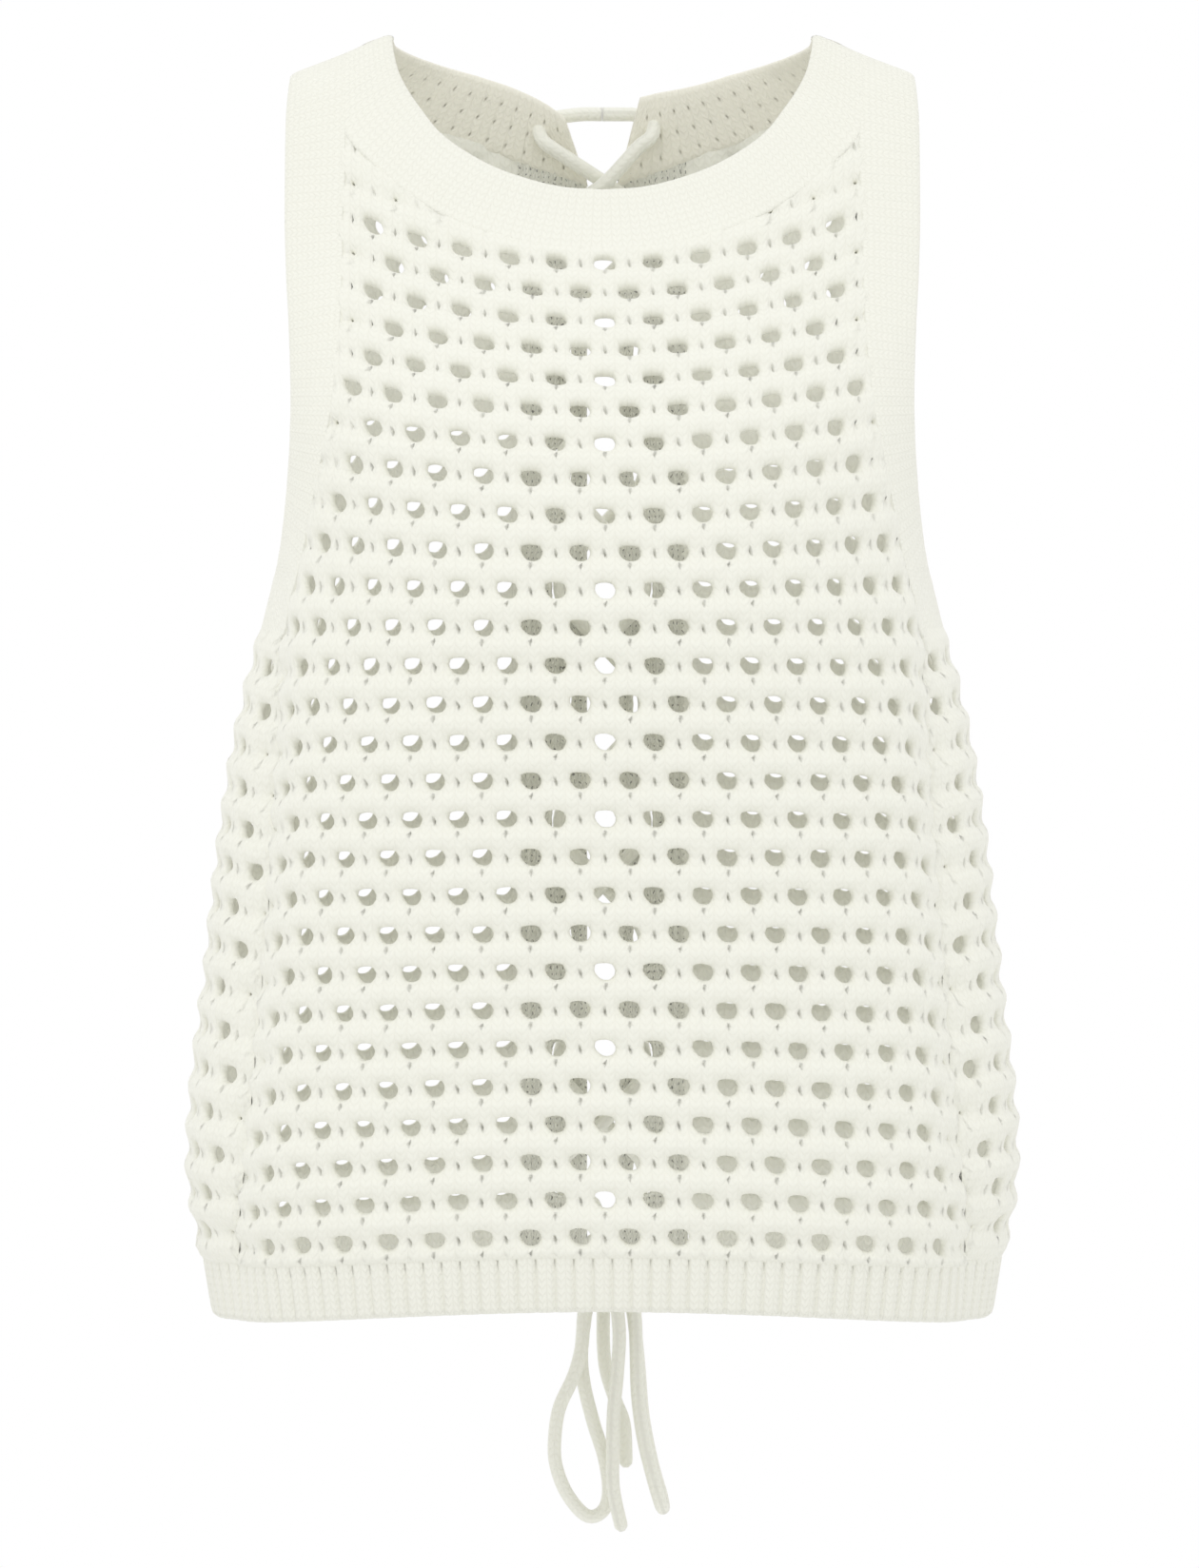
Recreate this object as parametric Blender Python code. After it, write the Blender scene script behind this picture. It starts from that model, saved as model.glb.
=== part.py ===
"""Sleeveless openwork knit top with an open laced back, filled out as worn."""
import math

import bmesh
import bpy
import numpy as np

# ---------------------------------------------------------------- dimensions
# Lengths are millimetres and angles are degrees until an object is made.
# "drop" is the distance below the high shoulder points; "turn" runs round the
# body from the centre front (0) to the centre back (180), with plus on +X.
MM = 0.001
FULLNESS = 2.5
SIDE_LINE_Y = 8.0
SHOULDER_ROUNDING = 18.0

SECTION_COLUMNS = ("drop", "half_width", "front", "back")
SECTIONS = (
    (-20.0, 178.0, 10.0, 20.0),
    (0.0, 178.0, 0.0, 38.0),
    (20.0, 177.0, -12.0, 50.0),
    (40.0, 176.0, -25.0, 60.0),
    (60.0, 173.0, -36.0, 68.0),
    (80.0, 170.0, -46.0, 75.0),
    (100.0, 164.0, -58.0, 81.0),
    (130.0, 153.0, -81.0, 89.0),
    (160.0, 143.0, -102.0, 94.0),
    (200.0, 137.0, -116.0, 98.0),
    (225.0, 137.5, -121.0, 99.0),
    (240.0, 141.0, -123.0, 99.0),
    (270.0, 149.0, -123.0, 98.0),
    (300.0, 155.5, -122.0, 97.0),
    (340.0, 161.5, -121.0, 96.0),
    (400.0, 168.0, -121.0, 98.0),
    (440.0, 173.0, -121.0, 101.0),
    (480.0, 173.8, -120.0, 104.0),
    (505.0, 169.5, -117.0, 102.0),
    (537.0, 164.4, -112.0, 98.0),
    (565.0, 160.0, -108.0, 95.0),
)
RIDGE_COLUMNS = ("x", "drop")
SHOULDER_RIDGE = (
    (0.0, -3.0), (70.0, -3.0), (88.0, 0.0), (107.5, 8.0), (131.0, 17.0),
    (150.0, 24.0), (180.0, 34.0),
)
SEAM_COLUMNS = ("drop", "turn", "crease", "dip")
SIDE_SEAM = (
    (200.0, 70.0, 0.0, 0.0),
    (231.0, 67.5, 1.0, 0.5),
    (250.0, 64.0, 3.5, 2.0),
    (285.0, 59.0, 6.0, 4.0),
    (330.0, 56.5, 7.0, 4.0),
    (390.0, 55.5, 7.0, 4.0),
    (470.0, 56.0, 6.5, 3.0),
    (505.0, 59.0, 4.0, 0.0),
    (537.0, 62.0, 2.0, 0.0),
    (560.0, 63.0, 2.0, 0.0),
)
CREASE_SPREAD = 7.0

# Knit rows: hole rows are whole numbers and ridges lie half way between them.
FIRST_ROW_DROP = 99.3
ROW_PITCH = 15.1
LAST_ROW = 27
PANEL_END_ROW = 27.4
HEM_START_ROW = 27.43
HEM_END_ROW = 29.05
UNDERARM_ROW = 11
TOP_ROW = -6
TILT_WIDTH = 120.0
TILT_COLUMNS = ("drop", "front_lift", "back_lift")
ROW_TILT = (
    (0.0, 40.0, 26.0), (60.0, 34.0, 22.0), (99.3, 26.5, 18.0), (150.0, 15.0, 11.0),
    (200.0, 7.0, 6.0), (250.0, 0.5, 1.5), (364.0, -2.5, 0.0), (525.0, -7.4, -2.0),
    (560.0, -8.0, -2.0),
)

# Cloth depths, measured inwards from the tops of the ridges.
RIDGE_HEIGHT = 2.9
PANEL_INSIDE = -5.7
BAND_PROFILE_COLUMNS = ("share", "outside", "inside")
BAND_PROFILE = ((0.0, -2.1, -3.9), (0.1, -1.3, -4.8), (0.5, -1.3, -4.8), (1.0, -1.5, -4.8))
HEM_CREST = -2.0
HEM_GROOVE = -3.6
HEM_INSIDE = -5.8
HEM_RIB_PITCH = 7.6
PLACKET_OUTSIDE = -1.4
PLACKET_INSIDE = -4.8
PLACKET_EDGE_X = 6.6
PLACKET_SEAM_X = 37.5
SEAM_GAP = 0.3
RIDGE_NORMAL = np.array([0.37, 0.0, 0.93])

BAND_COLUMNS = ("edge_turn", "edge_drop", "seam_turn", "seam_drop")
ARMHOLE = (
    (43.6, 16.0, 34.75, 7.0),
    (43.6, 19.0, 34.7, 10.0),
    (43.7, 26.0, 34.7, 17.0),
    (44.0, 40.0, 34.7, 34.0),
    (45.0, 60.0, 35.4, 58.0),
    (46.0, 80.0, 36.3, 78.0),
    (48.0, 100.0, 37.6, 97.0),
    (50.6, 120.0, 39.5, 116.0),
    (54.0, 140.0, 42.6, 138.0),
    (58.5, 161.0, 47.0, 162.0),
    (63.5, 182.0, 52.5, 187.0),
    (69.0, 202.0, 57.5, 212.0),
    (74.5, 215.0, 61.0, 233.0),
    (80.0, 222.0, 64.1, 250.0),
    (86.0, 224.5, 76.0, 248.6),
    (93.0, 223.0, 87.0, 248.0),
    (99.5, 218.0, 96.0, 247.5),
    (105.0, 210.0, 107.0, 234.0),
    (110.0, 199.0, 116.5, 217.0),
    (114.6, 184.0, 124.0, 196.0),
    (119.2, 163.0, 129.5, 169.0),
    (124.0, 141.0, 134.5, 144.0),
    (128.2, 120.0, 138.5, 121.0),
    (131.5, 100.0, 141.5, 100.0),
    (134.0, 80.0, 143.5, 79.0),
    (135.2, 60.0, 144.5, 58.0),
    (136.0, 40.0, 145.2, 34.0),
    (136.3, 26.0, 145.3, 17.0),
    (136.4, 19.0, 145.3, 10.0),
    (136.4, 16.0, 145.3, 7.0),
)
NECK_FRONT = (
    (28.1, -1.5, 34.55, 7.0),
    (28.0, 2.0, 34.55, 10.0),
    (27.7, 8.0, 34.55, 17.0),
    (26.9, 17.5, 34.5, 30.0),
    (25.6, 25.5, 34.3, 43.0),
    (24.0, 33.0, 31.5, 54.0),
    (21.8, 42.5, 28.0, 64.5),
    (19.0, 50.0, 24.5, 72.5),
    (15.0, 57.5, 20.0, 80.5),
    (10.5, 63.0, 14.0, 87.5),
    (5.5, 66.8, 7.5, 92.0),
    (0.0, 68.0, 0.0, 93.5),
)
NECK_BACK = (
    (151.9, -1.5, 145.45, 7.0),
    (152.1, 1.8, 145.45, 10.0),
    (153.0, 3.4, 145.6, 14.5),
    (154.3, 5.0, 146.2, 21.0),
    (157.0, 7.8, 150.5, 28.0),
    (160.5, 11.2, 155.5, 34.0),
    (164.5, 15.2, 160.5, 39.5),
    (168.5, 18.8, 165.5, 44.5),
    (172.0, 22.2, 171.5, 51.0),
    (174.8, 26.0, 177.8, 57.5),
)
BACK_END_SAG = (("left", -1.0, 4.5), ("right", 1.0, -4.0))

# Lace: one round cord through oval eyelets down the plackets.
CORD = 6.0
CORD_LIFT = 5.9
CORD_CROSS = 6.7
TOP_EYELET_COLUMNS = ("side", "x", "drop")
TOP_EYELETS = (("left", 27.0, 35.0), ("right", 22.0, 34.0))
TOP_EYELET_SIZE = 11.5
EYELET_X = 17.7
LACE_X = 18.5
LACE_BEND = 16.0
FIRST_EYELET_DROP = 76.0
EYELET_PITCH = 51.5
EYELET_ROWS = 9
EYELET_WIDTH = 9.6
EYELET_HEIGHT = 17.0
LACE_PASS = (
    (-1.0, 6.6), (-0.6, 6.0), (-0.3, 3.4), (0.0, 0.0), (0.3, -3.4), (0.6, -6.0), (1.0, -6.6),
)
KNOT_CENTRE = (3.0, 114.0, -514.0)
KNOT_SIZE = (11.0, 10.5, 8.6)

COLOURS = {
    "front_panel": (0.90, 0.88, 0.80, 1.0),
    "back_panel": (0.89, 0.87, 0.79, 1.0),
    "hem_rib": (0.88, 0.86, 0.77, 1.0),
    "neckband": (0.91, 0.89, 0.82, 1.0),
    "armhole_band": (0.91, 0.89, 0.81, 1.0),
    "placket": (0.87, 0.85, 0.76, 1.0),
    "lace": (0.90, 0.89, 0.82, 1.0),
}


# ------------------------------------------------------------ shape of the body
def column(table, names, name):
    """Return one named column of a table."""
    return np.array([row[names.index(name)] for row in table], float)


def smooth(at, where, values):
    """Read a smooth curve through table points."""
    at = np.asarray(at, float)
    slope = np.gradient(values, where)
    i = np.clip(np.searchsorted(where, at) - 1, 0, len(where) - 2)
    step = where[i + 1] - where[i]
    t = np.clip((at - where[i]) / step, -0.5, 1.5)
    return ((2 * t**3 - 3 * t**2 + 1) * values[i] + (t**3 - 2 * t**2 + t) * step * slope[i]
            + (3 * t**2 - 2 * t**3) * values[i + 1] + (t**3 - t**2) * step * slope[i + 1])


def section(drop, name):
    """Read a section size at a drop."""
    return smooth(drop, column(SECTIONS, SECTION_COLUMNS, "drop"),
                  column(SECTIONS, SECTION_COLUMNS, name))


def side_seam(drop, name):
    """Read the side seam's turn, crease depth or row dip at a drop."""
    return smooth(drop, column(SIDE_SEAM, SEAM_COLUMNS, "drop"),
                  column(SIDE_SEAM, SEAM_COLUMNS, name))


def ridge_drop(x):
    """Drop of the shoulder ridge at a distance from the middle."""
    return smooth(np.abs(x), column(SHOULDER_RIDGE, RIDGE_COLUMNS, "x"),
                  column(SHOULDER_RIDGE, RIDGE_COLUMNS, "drop"))


def nearness_to_seam(turn, drop):
    """1 on the side seam, fading to 0 away from it."""
    return np.exp(-((np.abs(turn) - side_seam(drop, "turn")) / CREASE_SPREAD) ** 2)


def surface(turn, drop):
    """Point on the outer ridge tops of the garment."""
    turn, drop = np.broadcast_arrays(np.asarray(turn, float), np.asarray(drop, float))
    sine = np.sin(np.radians(turn))
    cosine = np.cos(np.radians(turn))
    reach = (np.abs(sine) ** FULLNESS + np.abs(cosine) ** FULLNESS) ** (-1 / FULLNESS)
    x = section(drop, "half_width") * sine * reach
    forward = SIDE_LINE_Y - section(drop, "front")
    backward = section(drop, "back") - SIDE_LINE_Y
    y = -np.where(cosine >= 0, forward, backward) * cosine * reach
    below = np.clip((drop - ridge_drop(x)) / SHOULDER_ROUNDING, 0.0, 1.0)
    y = y * np.sqrt(np.clip(1 - (1 - below) ** 2, 0.0, 1.0))
    crease = np.clip(side_seam(drop, "crease"), 0.0, None) * nearness_to_seam(turn, drop)
    crease = np.where(drop > 225.0, crease, 0.0)
    shrink = 1 - crease / np.maximum(np.hypot(x, y), 1.0)
    return np.stack([x * shrink, SIDE_LINE_Y + y * shrink, -drop], -1)


def skin(turn, drop, depth):
    """Point at a depth from the ridge tops, with minus inwards."""
    turn, drop, depth = np.broadcast_arrays(*(np.asarray(v, float) for v in (turn, drop, depth)))
    across = surface(turn + 0.05, drop) - surface(turn - 0.05, drop)
    down = surface(turn, drop + 0.1) - surface(turn, drop - 0.1)
    normal = np.cross(down, across)
    normal /= np.maximum(np.linalg.norm(normal, axis=-1, keepdims=True), 1e-9)
    return surface(turn, drop) + normal * depth[..., None]


def turn_at(x, drop):
    """Turn on the back at a distance from the middle."""
    share = np.clip(np.abs(x) / section(drop, "half_width"), 0.0, 0.9999)
    rest = (1 - share**FULLNESS) ** (1 / FULLNESS)
    return 180.0 - np.degrees(np.arctan2(share, rest))


# ------------------------------------------------------------------- knit rows
def centre_drop(row):
    """Drop of a knit row at the centre front."""
    drops = np.linspace(0.0, 565.0, 1131)
    fronts = section(drops, "front")
    steps = np.hypot(np.diff(drops), np.diff(fronts))
    run = np.concatenate([[0.0], np.cumsum(steps)])
    start = np.interp(FIRST_ROW_DROP, drops, run)
    return np.interp(start + np.asarray(row, float) * ROW_PITCH, run, drops)


def row_drops(row, turns):
    """Drop of a knit row at each turn."""
    centre = float(centre_drop(row))
    where = column(ROW_TILT, TILT_COLUMNS, "drop")
    front_lift = smooth(centre, where, column(ROW_TILT, TILT_COLUMNS, "front_lift"))
    back_lift = smooth(centre, where, column(ROW_TILT, TILT_COLUMNS, "back_lift"))
    side = centre
    for _ in range(6):
        side = centre - front_lift * (section(side, "half_width") / TILT_WIDTH) ** 2
    back_centre = side + back_lift * (section(side, "half_width") / TILT_WIDTH) ** 2
    turns = np.asarray(turns, float)
    drops = np.full(turns.shape, centre)
    for _ in range(6):
        x = surface(turns, drops)[..., 0]
        fraction = (x / TILT_WIDTH) ** 2
        drops = np.where(np.abs(turns) <= 90.0, centre - front_lift * fraction,
                         back_centre - back_lift * fraction)
        near = nearness_to_seam(turns, drops)
        drops = drops + np.where(drops > 225.0, side_seam(drops, "dip"), 0.0) * near
    return drops


def spaced_turns(row, start, end, shares):
    """Turns at shares of the length of a row between two turns."""
    turns = np.linspace(start, end, 121)
    points = surface(turns, row_drops(row, turns))
    run = np.concatenate([[0.0], np.cumsum(np.linalg.norm(np.diff(points, axis=0), axis=1))])
    return np.interp(np.asarray(shares) * run[-1], run, turns)


def outside_depth(row):
    """Depth of the ridged outside at a row number."""
    return -RIDGE_HEIGHT * (0.5 + 0.5 * np.cos(2 * math.pi * np.asarray(row, float)))


def row_crossing(row, turns, drops):
    """First point where a row meets a line of turns and drops, from its top."""
    shares = np.linspace(0.0, len(turns) - 1.0, 40 * len(turns))
    line_turns = np.interp(shares, np.arange(len(turns)), turns)
    line_drops = np.interp(shares, np.arange(len(drops)), drops)
    over = line_drops - row_drops(row, line_turns)
    i = int(np.argmax(over > 0.0))
    if over[i] <= 0.0:
        return float(line_turns[-1]), float(line_drops[-1])
    if i == 0:
        return float(line_turns[0]), float(line_drops[0])
    t = over[i - 1] / (over[i - 1] - over[i])
    return (float(line_turns[i - 1] + t * (line_turns[i] - line_turns[i - 1])),
            float(line_drops[i - 1] + t * (line_drops[i] - line_drops[i - 1])))


# ------------------------------------------------------------- mesh of one wall
class Wall:
    """Closed wall gathered from grids and edge strips of points."""

    def __init__(self):
        self.points = []
        self.faces = []
        self.found = {}

    def vertex(self, point):
        """Index of a point, shared by every face that uses it."""
        key = tuple(round(float(v), 3) for v in point)
        if key not in self.found:
            self.found[key] = len(self.points)
            self.points.append([float(v) * MM for v in point])
        return self.found[key]

    def face(self, corners):
        """Add one face and leave out repeated corners."""
        kept = []
        for corner in corners:
            if corner not in kept:
                kept.append(corner)
        if len(kept) > 2:
            self.faces.append(kept)

    def grid(self, rows, flip=False):
        """Add the faces between rows of points."""
        index = [[self.vertex(p) for p in row] for row in rows]
        for upper, lower in zip(index[:-1], index[1:]):
            for i in range(len(upper) - 1):
                corners = [upper[i], upper[i + 1], lower[i + 1], lower[i]]
                self.face(corners[::-1] if flip else corners)

    def strip(self, first, second):
        """Join two lines of points with triangles."""
        lines = []
        for line in (first, second):
            kept = [self.vertex(p) for p in line]
            lines.append([v for i, v in enumerate(kept) if i == 0 or v != kept[i - 1]])
        spans = []
        for line in lines:
            where = np.array([self.points[v] for v in line])
            run = np.concatenate([[0.0], np.cumsum(np.linalg.norm(np.diff(where, axis=0), axis=1))])
            spans.append(run / max(run[-1], 1e-9))
        i = 0
        j = 0
        while i < len(lines[0]) - 1 or j < len(lines[1]) - 1:
            step_first = j == len(lines[1]) - 1
            if not step_first and i < len(lines[0]) - 1:
                step_first = spans[0][i + 1] <= spans[1][j + 1]
            if step_first:
                self.face([lines[0][i], lines[0][i + 1], lines[1][j]])
                i += 1
            else:
                self.face([lines[0][i], lines[1][j + 1], lines[1][j]])
                j += 1

    def finish(self, name, material):
        """Make the named object."""
        mesh = bpy.data.meshes.new(name)
        mesh.from_pydata(self.points, [], self.faces)
        shaped = bmesh.new()
        shaped.from_mesh(mesh)
        bmesh.ops.triangulate(shaped, faces=[f for f in shaped.faces if len(f.verts) > 3])
        bmesh.ops.recalc_face_normals(shaped, faces=shaped.faces)
        shaped.to_mesh(mesh)
        shaped.free()
        return add_object(name, mesh, material)


def add_object(name, data, material):
    """Put data in the garment's collection with its own material."""
    thing = bpy.data.objects.new(name, data)
    bpy.data.collections["knit_top"].objects.link(thing)
    made = bpy.data.materials.new(name + "_knit")
    made.use_nodes = True
    shader = made.node_tree.nodes["Principled BSDF"]
    shader.inputs["Base Color"].default_value = COLOURS[material]
    shader.inputs["Roughness"].default_value = 0.85
    data.materials.append(made)
    return thing


def mirrored(points):
    """Points reflected to the other side of the body."""
    return np.asarray(points) * np.array([-1.0, 1.0, 1.0])


# ---------------------------------------------------------------------- panels
ROWS = [float(r) for r in range(TOP_ROW, LAST_ROW + 1)] + [PANEL_END_ROW]


def table_line(table, turn_name, drop_name):
    """Turns and drops of one edge of a band table."""
    return column(table, BAND_COLUMNS, turn_name), column(table, BAND_COLUMNS, drop_name)


def side_line():
    """Turns and drops down the side seam from the underarm."""
    drops = np.linspace(231.0, 545.0, 33)
    turns = side_seam(drops, "turn")
    return turns, drops


def seam_point(row, turns, drops):
    """Where a row ends, halfway between whole rows for the ridges."""
    if abs(row - round(row)) < 1e-6 or row > LAST_ROW:
        return row_crossing(row, turns, drops)
    upper = row_crossing(math.floor(row), turns, drops)
    lower = row_crossing(math.ceil(row), turns, drops)
    return (upper[0] + lower[0]) / 2, (upper[1] + lower[1]) / 2


def clip_top(grid, rows, seam_turns, seam_drops):
    """Draw the points above the neckband seam down on to it."""
    order = np.argsort(seam_turns)
    seam_at = seam_drops[order]
    turns_at = seam_turns[order]
    count = len(grid[0])
    row_numbers = [[row] * count for row in rows]
    tops = []
    for i in range(count):
        line = [grid[j][i] for j in range(len(rows))]
        over = [drop - float(smooth(abs(turn), turns_at, seam_at)) for turn, drop in line]
        j = next(k for k in range(1, len(rows)) if over[k] > 0.0)
        t = over[j - 1] / (over[j - 1] - over[j])
        top = tuple(np.array(line[j - 1]) * (1 - t) + np.array(line[j]) * t)
        top_row = rows[j - 1] * (1 - t) + rows[j] * t
        tops.append((top[0], top[1]))
        for k in range(j):
            grid[k][i] = top
            row_numbers[k][i] = top_row
    return tops, row_numbers


def with_ridges(rows):
    """Whole rows with the ridge rows put in between."""
    full = []
    for row, following in zip(rows[:-1], rows[1:]):
        full.append(row)
        if following - row > 0.75:
            full.append(row + 0.5)
    full.append(rows[-1])
    return full


def refine(grid, rows, fine_rows, row_numbers, place):
    """Put the ridge rows between the whole rows of a clipped grid."""
    fine = []
    numbers = []
    for row in fine_rows:
        if row in rows:
            j = rows.index(row)
            fine.append(list(grid[j]))
            numbers.append(list(row_numbers[j]))
            continue
        j = rows.index(row - 0.5)
        middle = place(row)
        line = []
        line_numbers = []
        for i, point in enumerate(middle):
            top_row = row_numbers[j][i]
            if top_row >= row:
                line.append(grid[j][i])
                line_numbers.append(top_row)
            else:
                line.append(point)
                line_numbers.append(row)
        fine.append(line)
        numbers.append(line_numbers)
    return fine, numbers


def to_skin(grid, depths, mirror=False):
    """Points of a grid of turns and drops at their depths."""
    rows = []
    for line, depth in zip(grid, depths):
        turns = np.array([p[0] for p in line])
        drops = np.array([p[1] for p in line])
        points = skin(turns, drops, np.asarray(depth, float) + np.zeros(len(line)))
        rows.append(mirrored(points) if mirror else points)
    return rows


FRONT_SHARES = np.linspace(0.0, 1.0, 17)
FRONT_GAP = 0.07


def front_boundary():
    """Line of turns and drops down the front panel's right edge."""
    arm_turns, arm_drops = table_line(ARMHOLE, "seam_turn", "seam_drop")
    down_turns, down_drops = side_line()
    under = down_drops > arm_drops[13] - 2.0
    return (np.concatenate([arm_turns[:13], down_turns[under]]) - FRONT_GAP,
            np.concatenate([arm_drops[:13], down_drops[under]]))


def front_row(row):
    """Turns and drops across the front panel on one row."""
    edge_turn, edge_drop = seam_point(row, *front_boundary())
    turns = spaced_turns(row, -edge_turn, edge_turn, FRONT_SHARES)
    drops = row_drops(row, turns)
    line = [[float(t), float(d)] for t, d in zip(turns, drops)]
    line[0] = [-edge_turn, edge_drop]
    line[-1] = [edge_turn, edge_drop]
    return line


def make_front_panel():
    """Make the openwork front and return its seam points."""
    grid = [front_row(row) for row in ROWS]
    neck_turns, neck_drops = table_line(NECK_FRONT[4:], "seam_turn", "seam_drop")
    tops, numbers = clip_top(grid, ROWS, neck_turns, neck_drops + SEAM_GAP)
    inner = to_skin(grid, [PANEL_INSIDE] * len(ROWS))
    fine_rows = with_ridges(ROWS)
    fine, fine_numbers = refine(grid, ROWS, fine_rows, numbers, front_row)
    outer = to_skin(fine, [outside_depth(line) for line in fine_numbers])
    wall = Wall()
    wall.grid(outer)
    wall.grid(inner, True)
    wall.strip(outer[0], inner[0])
    wall.strip(outer[-1], inner[-1])
    for side in (0, -1):
        wall.strip([line[side] for line in outer], [line[side] for line in inner])
    wall.finish("front_panel", "front_panel")
    sides = [line[-1] for line in grid]
    return tops, sides


BACK_SIDE_SHARES = np.linspace(0.0, 1.0, 4)
BACK_SHARES = np.linspace(0.0, 1.0, 7)
CORNER_TURN = 96.0


def back_arm_line():
    """Line of turns and drops up the back of the armhole seam, from its top."""
    turns, drops = table_line(ARMHOLE, "seam_turn", "seam_drop")
    return turns[:15:-1] + FRONT_GAP, drops[:15:-1]


def placket_turn(row):
    """Turn of the back panel's edge along the placket on one row."""
    drop = float(row_drops(row, np.array([165.0]))[0])
    for _ in range(4):
        turn = float(turn_at(PLACKET_SEAM_X + SEAM_GAP, drop))
        drop = float(row_drops(row, np.array([turn]))[0])
    return turn


def corner_turn(row):
    """Turn of the column that comes down from the underarm corner."""
    return CORNER_TURN + 0.25 * (row - UNDERARM_ROW)


def back_low_row(row):
    """Turns and drops across a back panel on a row below the underarm."""
    down_turns, down_drops = side_line()
    start_turn, start_drop = row_crossing(row, down_turns + FRONT_GAP, down_drops)
    near = spaced_turns(row, start_turn, corner_turn(row), BACK_SIDE_SHARES)
    far = spaced_turns(row, corner_turn(row), placket_turn(row), BACK_SHARES)
    turns = np.concatenate([near, far[1:]])
    drops = row_drops(row, turns)
    line = [[float(t), float(d)] for t, d in zip(turns, drops)]
    line[0] = [start_turn, start_drop]
    return line


def back_high_row(row):
    """Turns and drops across a back panel on a row above the underarm."""
    if row > UNDERARM_ROW - 0.75:
        upper = row_crossing(UNDERARM_ROW - 1, *back_arm_line())
        start = (upper[0] + CORNER_TURN) / 2
        level = float(row_drops(UNDERARM_ROW, np.array([CORNER_TURN]))[0])
        start_drop = (upper[1] + level) / 2
        if row > UNDERARM_ROW - 0.25:
            start = CORNER_TURN
            start_drop = level
    else:
        start, start_drop = seam_point(row, *back_arm_line())
    turns = spaced_turns(row, start, placket_turn(row), BACK_SHARES)
    drops = row_drops(row, turns)
    line = [[float(t), float(d)] for t, d in zip(turns, drops)]
    line[0] = [start, start_drop]
    return line


def make_back_panel(name, mirror):
    """Make one openwork back and return its seam points."""
    high_rows = [row for row in ROWS if row <= UNDERARM_ROW]
    low_rows = [row for row in ROWS if row >= UNDERARM_ROW]
    high = [back_high_row(row) for row in high_rows]
    low = [back_low_row(row) for row in low_rows]
    high[-1] = low[0][3:]
    neck_turns, neck_drops = table_line(NECK_BACK[3:], "seam_turn", "seam_drop")
    tops, numbers = clip_top(high, high_rows, neck_turns, neck_drops + 2 * SEAM_GAP)
    low_numbers = [[row] * len(low[0]) for row in low_rows]
    fine_high, high_fine_numbers = refine(
        high, high_rows, with_ridges(high_rows), numbers, back_high_row)
    fine_low, low_fine_numbers = refine(
        low, low_rows, with_ridges(low_rows), low_numbers, back_low_row)
    outer_high = to_skin(fine_high, [outside_depth(n) for n in high_fine_numbers], mirror)
    outer_low = to_skin(fine_low, [outside_depth(n) for n in low_fine_numbers], mirror)
    inner_high = to_skin(high, [PANEL_INSIDE] * len(high), mirror)
    inner_low = to_skin(low, [PANEL_INSIDE] * len(low), mirror)
    wall = Wall()
    for outer, inner in ((outer_high, inner_high), (outer_low, inner_low)):
        wall.grid(outer)
        wall.grid(inner, True)
        wall.strip([line[-1] for line in outer], [line[-1] for line in inner])
        wall.strip([line[0] for line in outer], [line[0] for line in inner])
    wall.strip(outer_high[0], inner_high[0])
    wall.strip(outer_low[-1], inner_low[-1])
    wall.strip(outer_low[0][:4], inner_low[0][:4])
    wall.finish(name, "back_panel")
    return tops, [line[0] for line in high[:-1]], low[0][:4]


# ----------------------------------------------------------------------- bands
def band_station(table, seam_turn, seam_drop):
    """Edge point that belongs to a point on a band's seam."""
    where = np.arange(len(table), dtype=float)
    shares = np.linspace(0.0, len(table) - 1.0, 60 * len(table))
    names = [smooth(shares, where, column(table, BAND_COLUMNS, n)) for n in BAND_COLUMNS]
    distance = np.hypot((names[2] - abs(seam_turn)) * 2.4, names[3] - seam_drop)
    i = int(np.argmin(distance))
    return float(names[0][i]), float(names[1][i])


def ring(edge, seam, profile, trim, mirror, sag=0.0):
    """Closed section of a band between its edge and its seam."""
    shares = np.array([row[0] for row in profile])
    reach = 1.0 - trim / 24.0
    turns = edge[0] + (seam[0] - edge[0]) * shares * reach
    drops = edge[1] + (seam[1] - edge[1]) * shares * reach
    low = ridge_drop(surface(turns, np.maximum(drops, 20.0))[..., 0]) + 0.003
    drops = np.maximum(drops, low)
    depths = np.array([[row[1], row[2]] for row in profile])
    if float(np.max(drops - low)) < 1e-6:
        base = surface(turns, drops)
        base[:, 1] = SIDE_LINE_Y + (0.15 if seam[0] > 90.0 else -0.15)
        outside = base + RIDGE_NORMAL * depths[:, :1]
        inside = base + RIDGE_NORMAL * depths[:, 1:]
    else:
        outside = skin(turns, drops, depths[:, 0])
        inside = skin(turns, drops, depths[:, 1])
    points = np.concatenate([outside, inside[::-1]])
    points[:, 2] -= sag * np.concatenate([1 - shares, 1 - shares[::-1]])
    return mirrored(points) if mirror else points


def make_band(name, material, rings, closed=False):
    """Make a band from its sections."""
    wall = Wall()
    count = len(rings[0])
    joined = list(rings) + ([rings[0]] if closed else [])
    for first, second in zip(joined[:-1], joined[1:]):
        for i in range(count):
            k = (i + 1) % count
            wall.face([wall.vertex(p) for p in (first[i], first[k], second[k], second[i])])
    if not closed:
        half = count // 2
        for end in (rings[0], rings[-1]):
            for i in range(half - 1):
                corners = (end[i], end[i + 1], end[count - 2 - i], end[count - 1 - i])
                wall.face([wall.vertex(p) for p in corners])
    return wall.finish(name, material)


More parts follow.
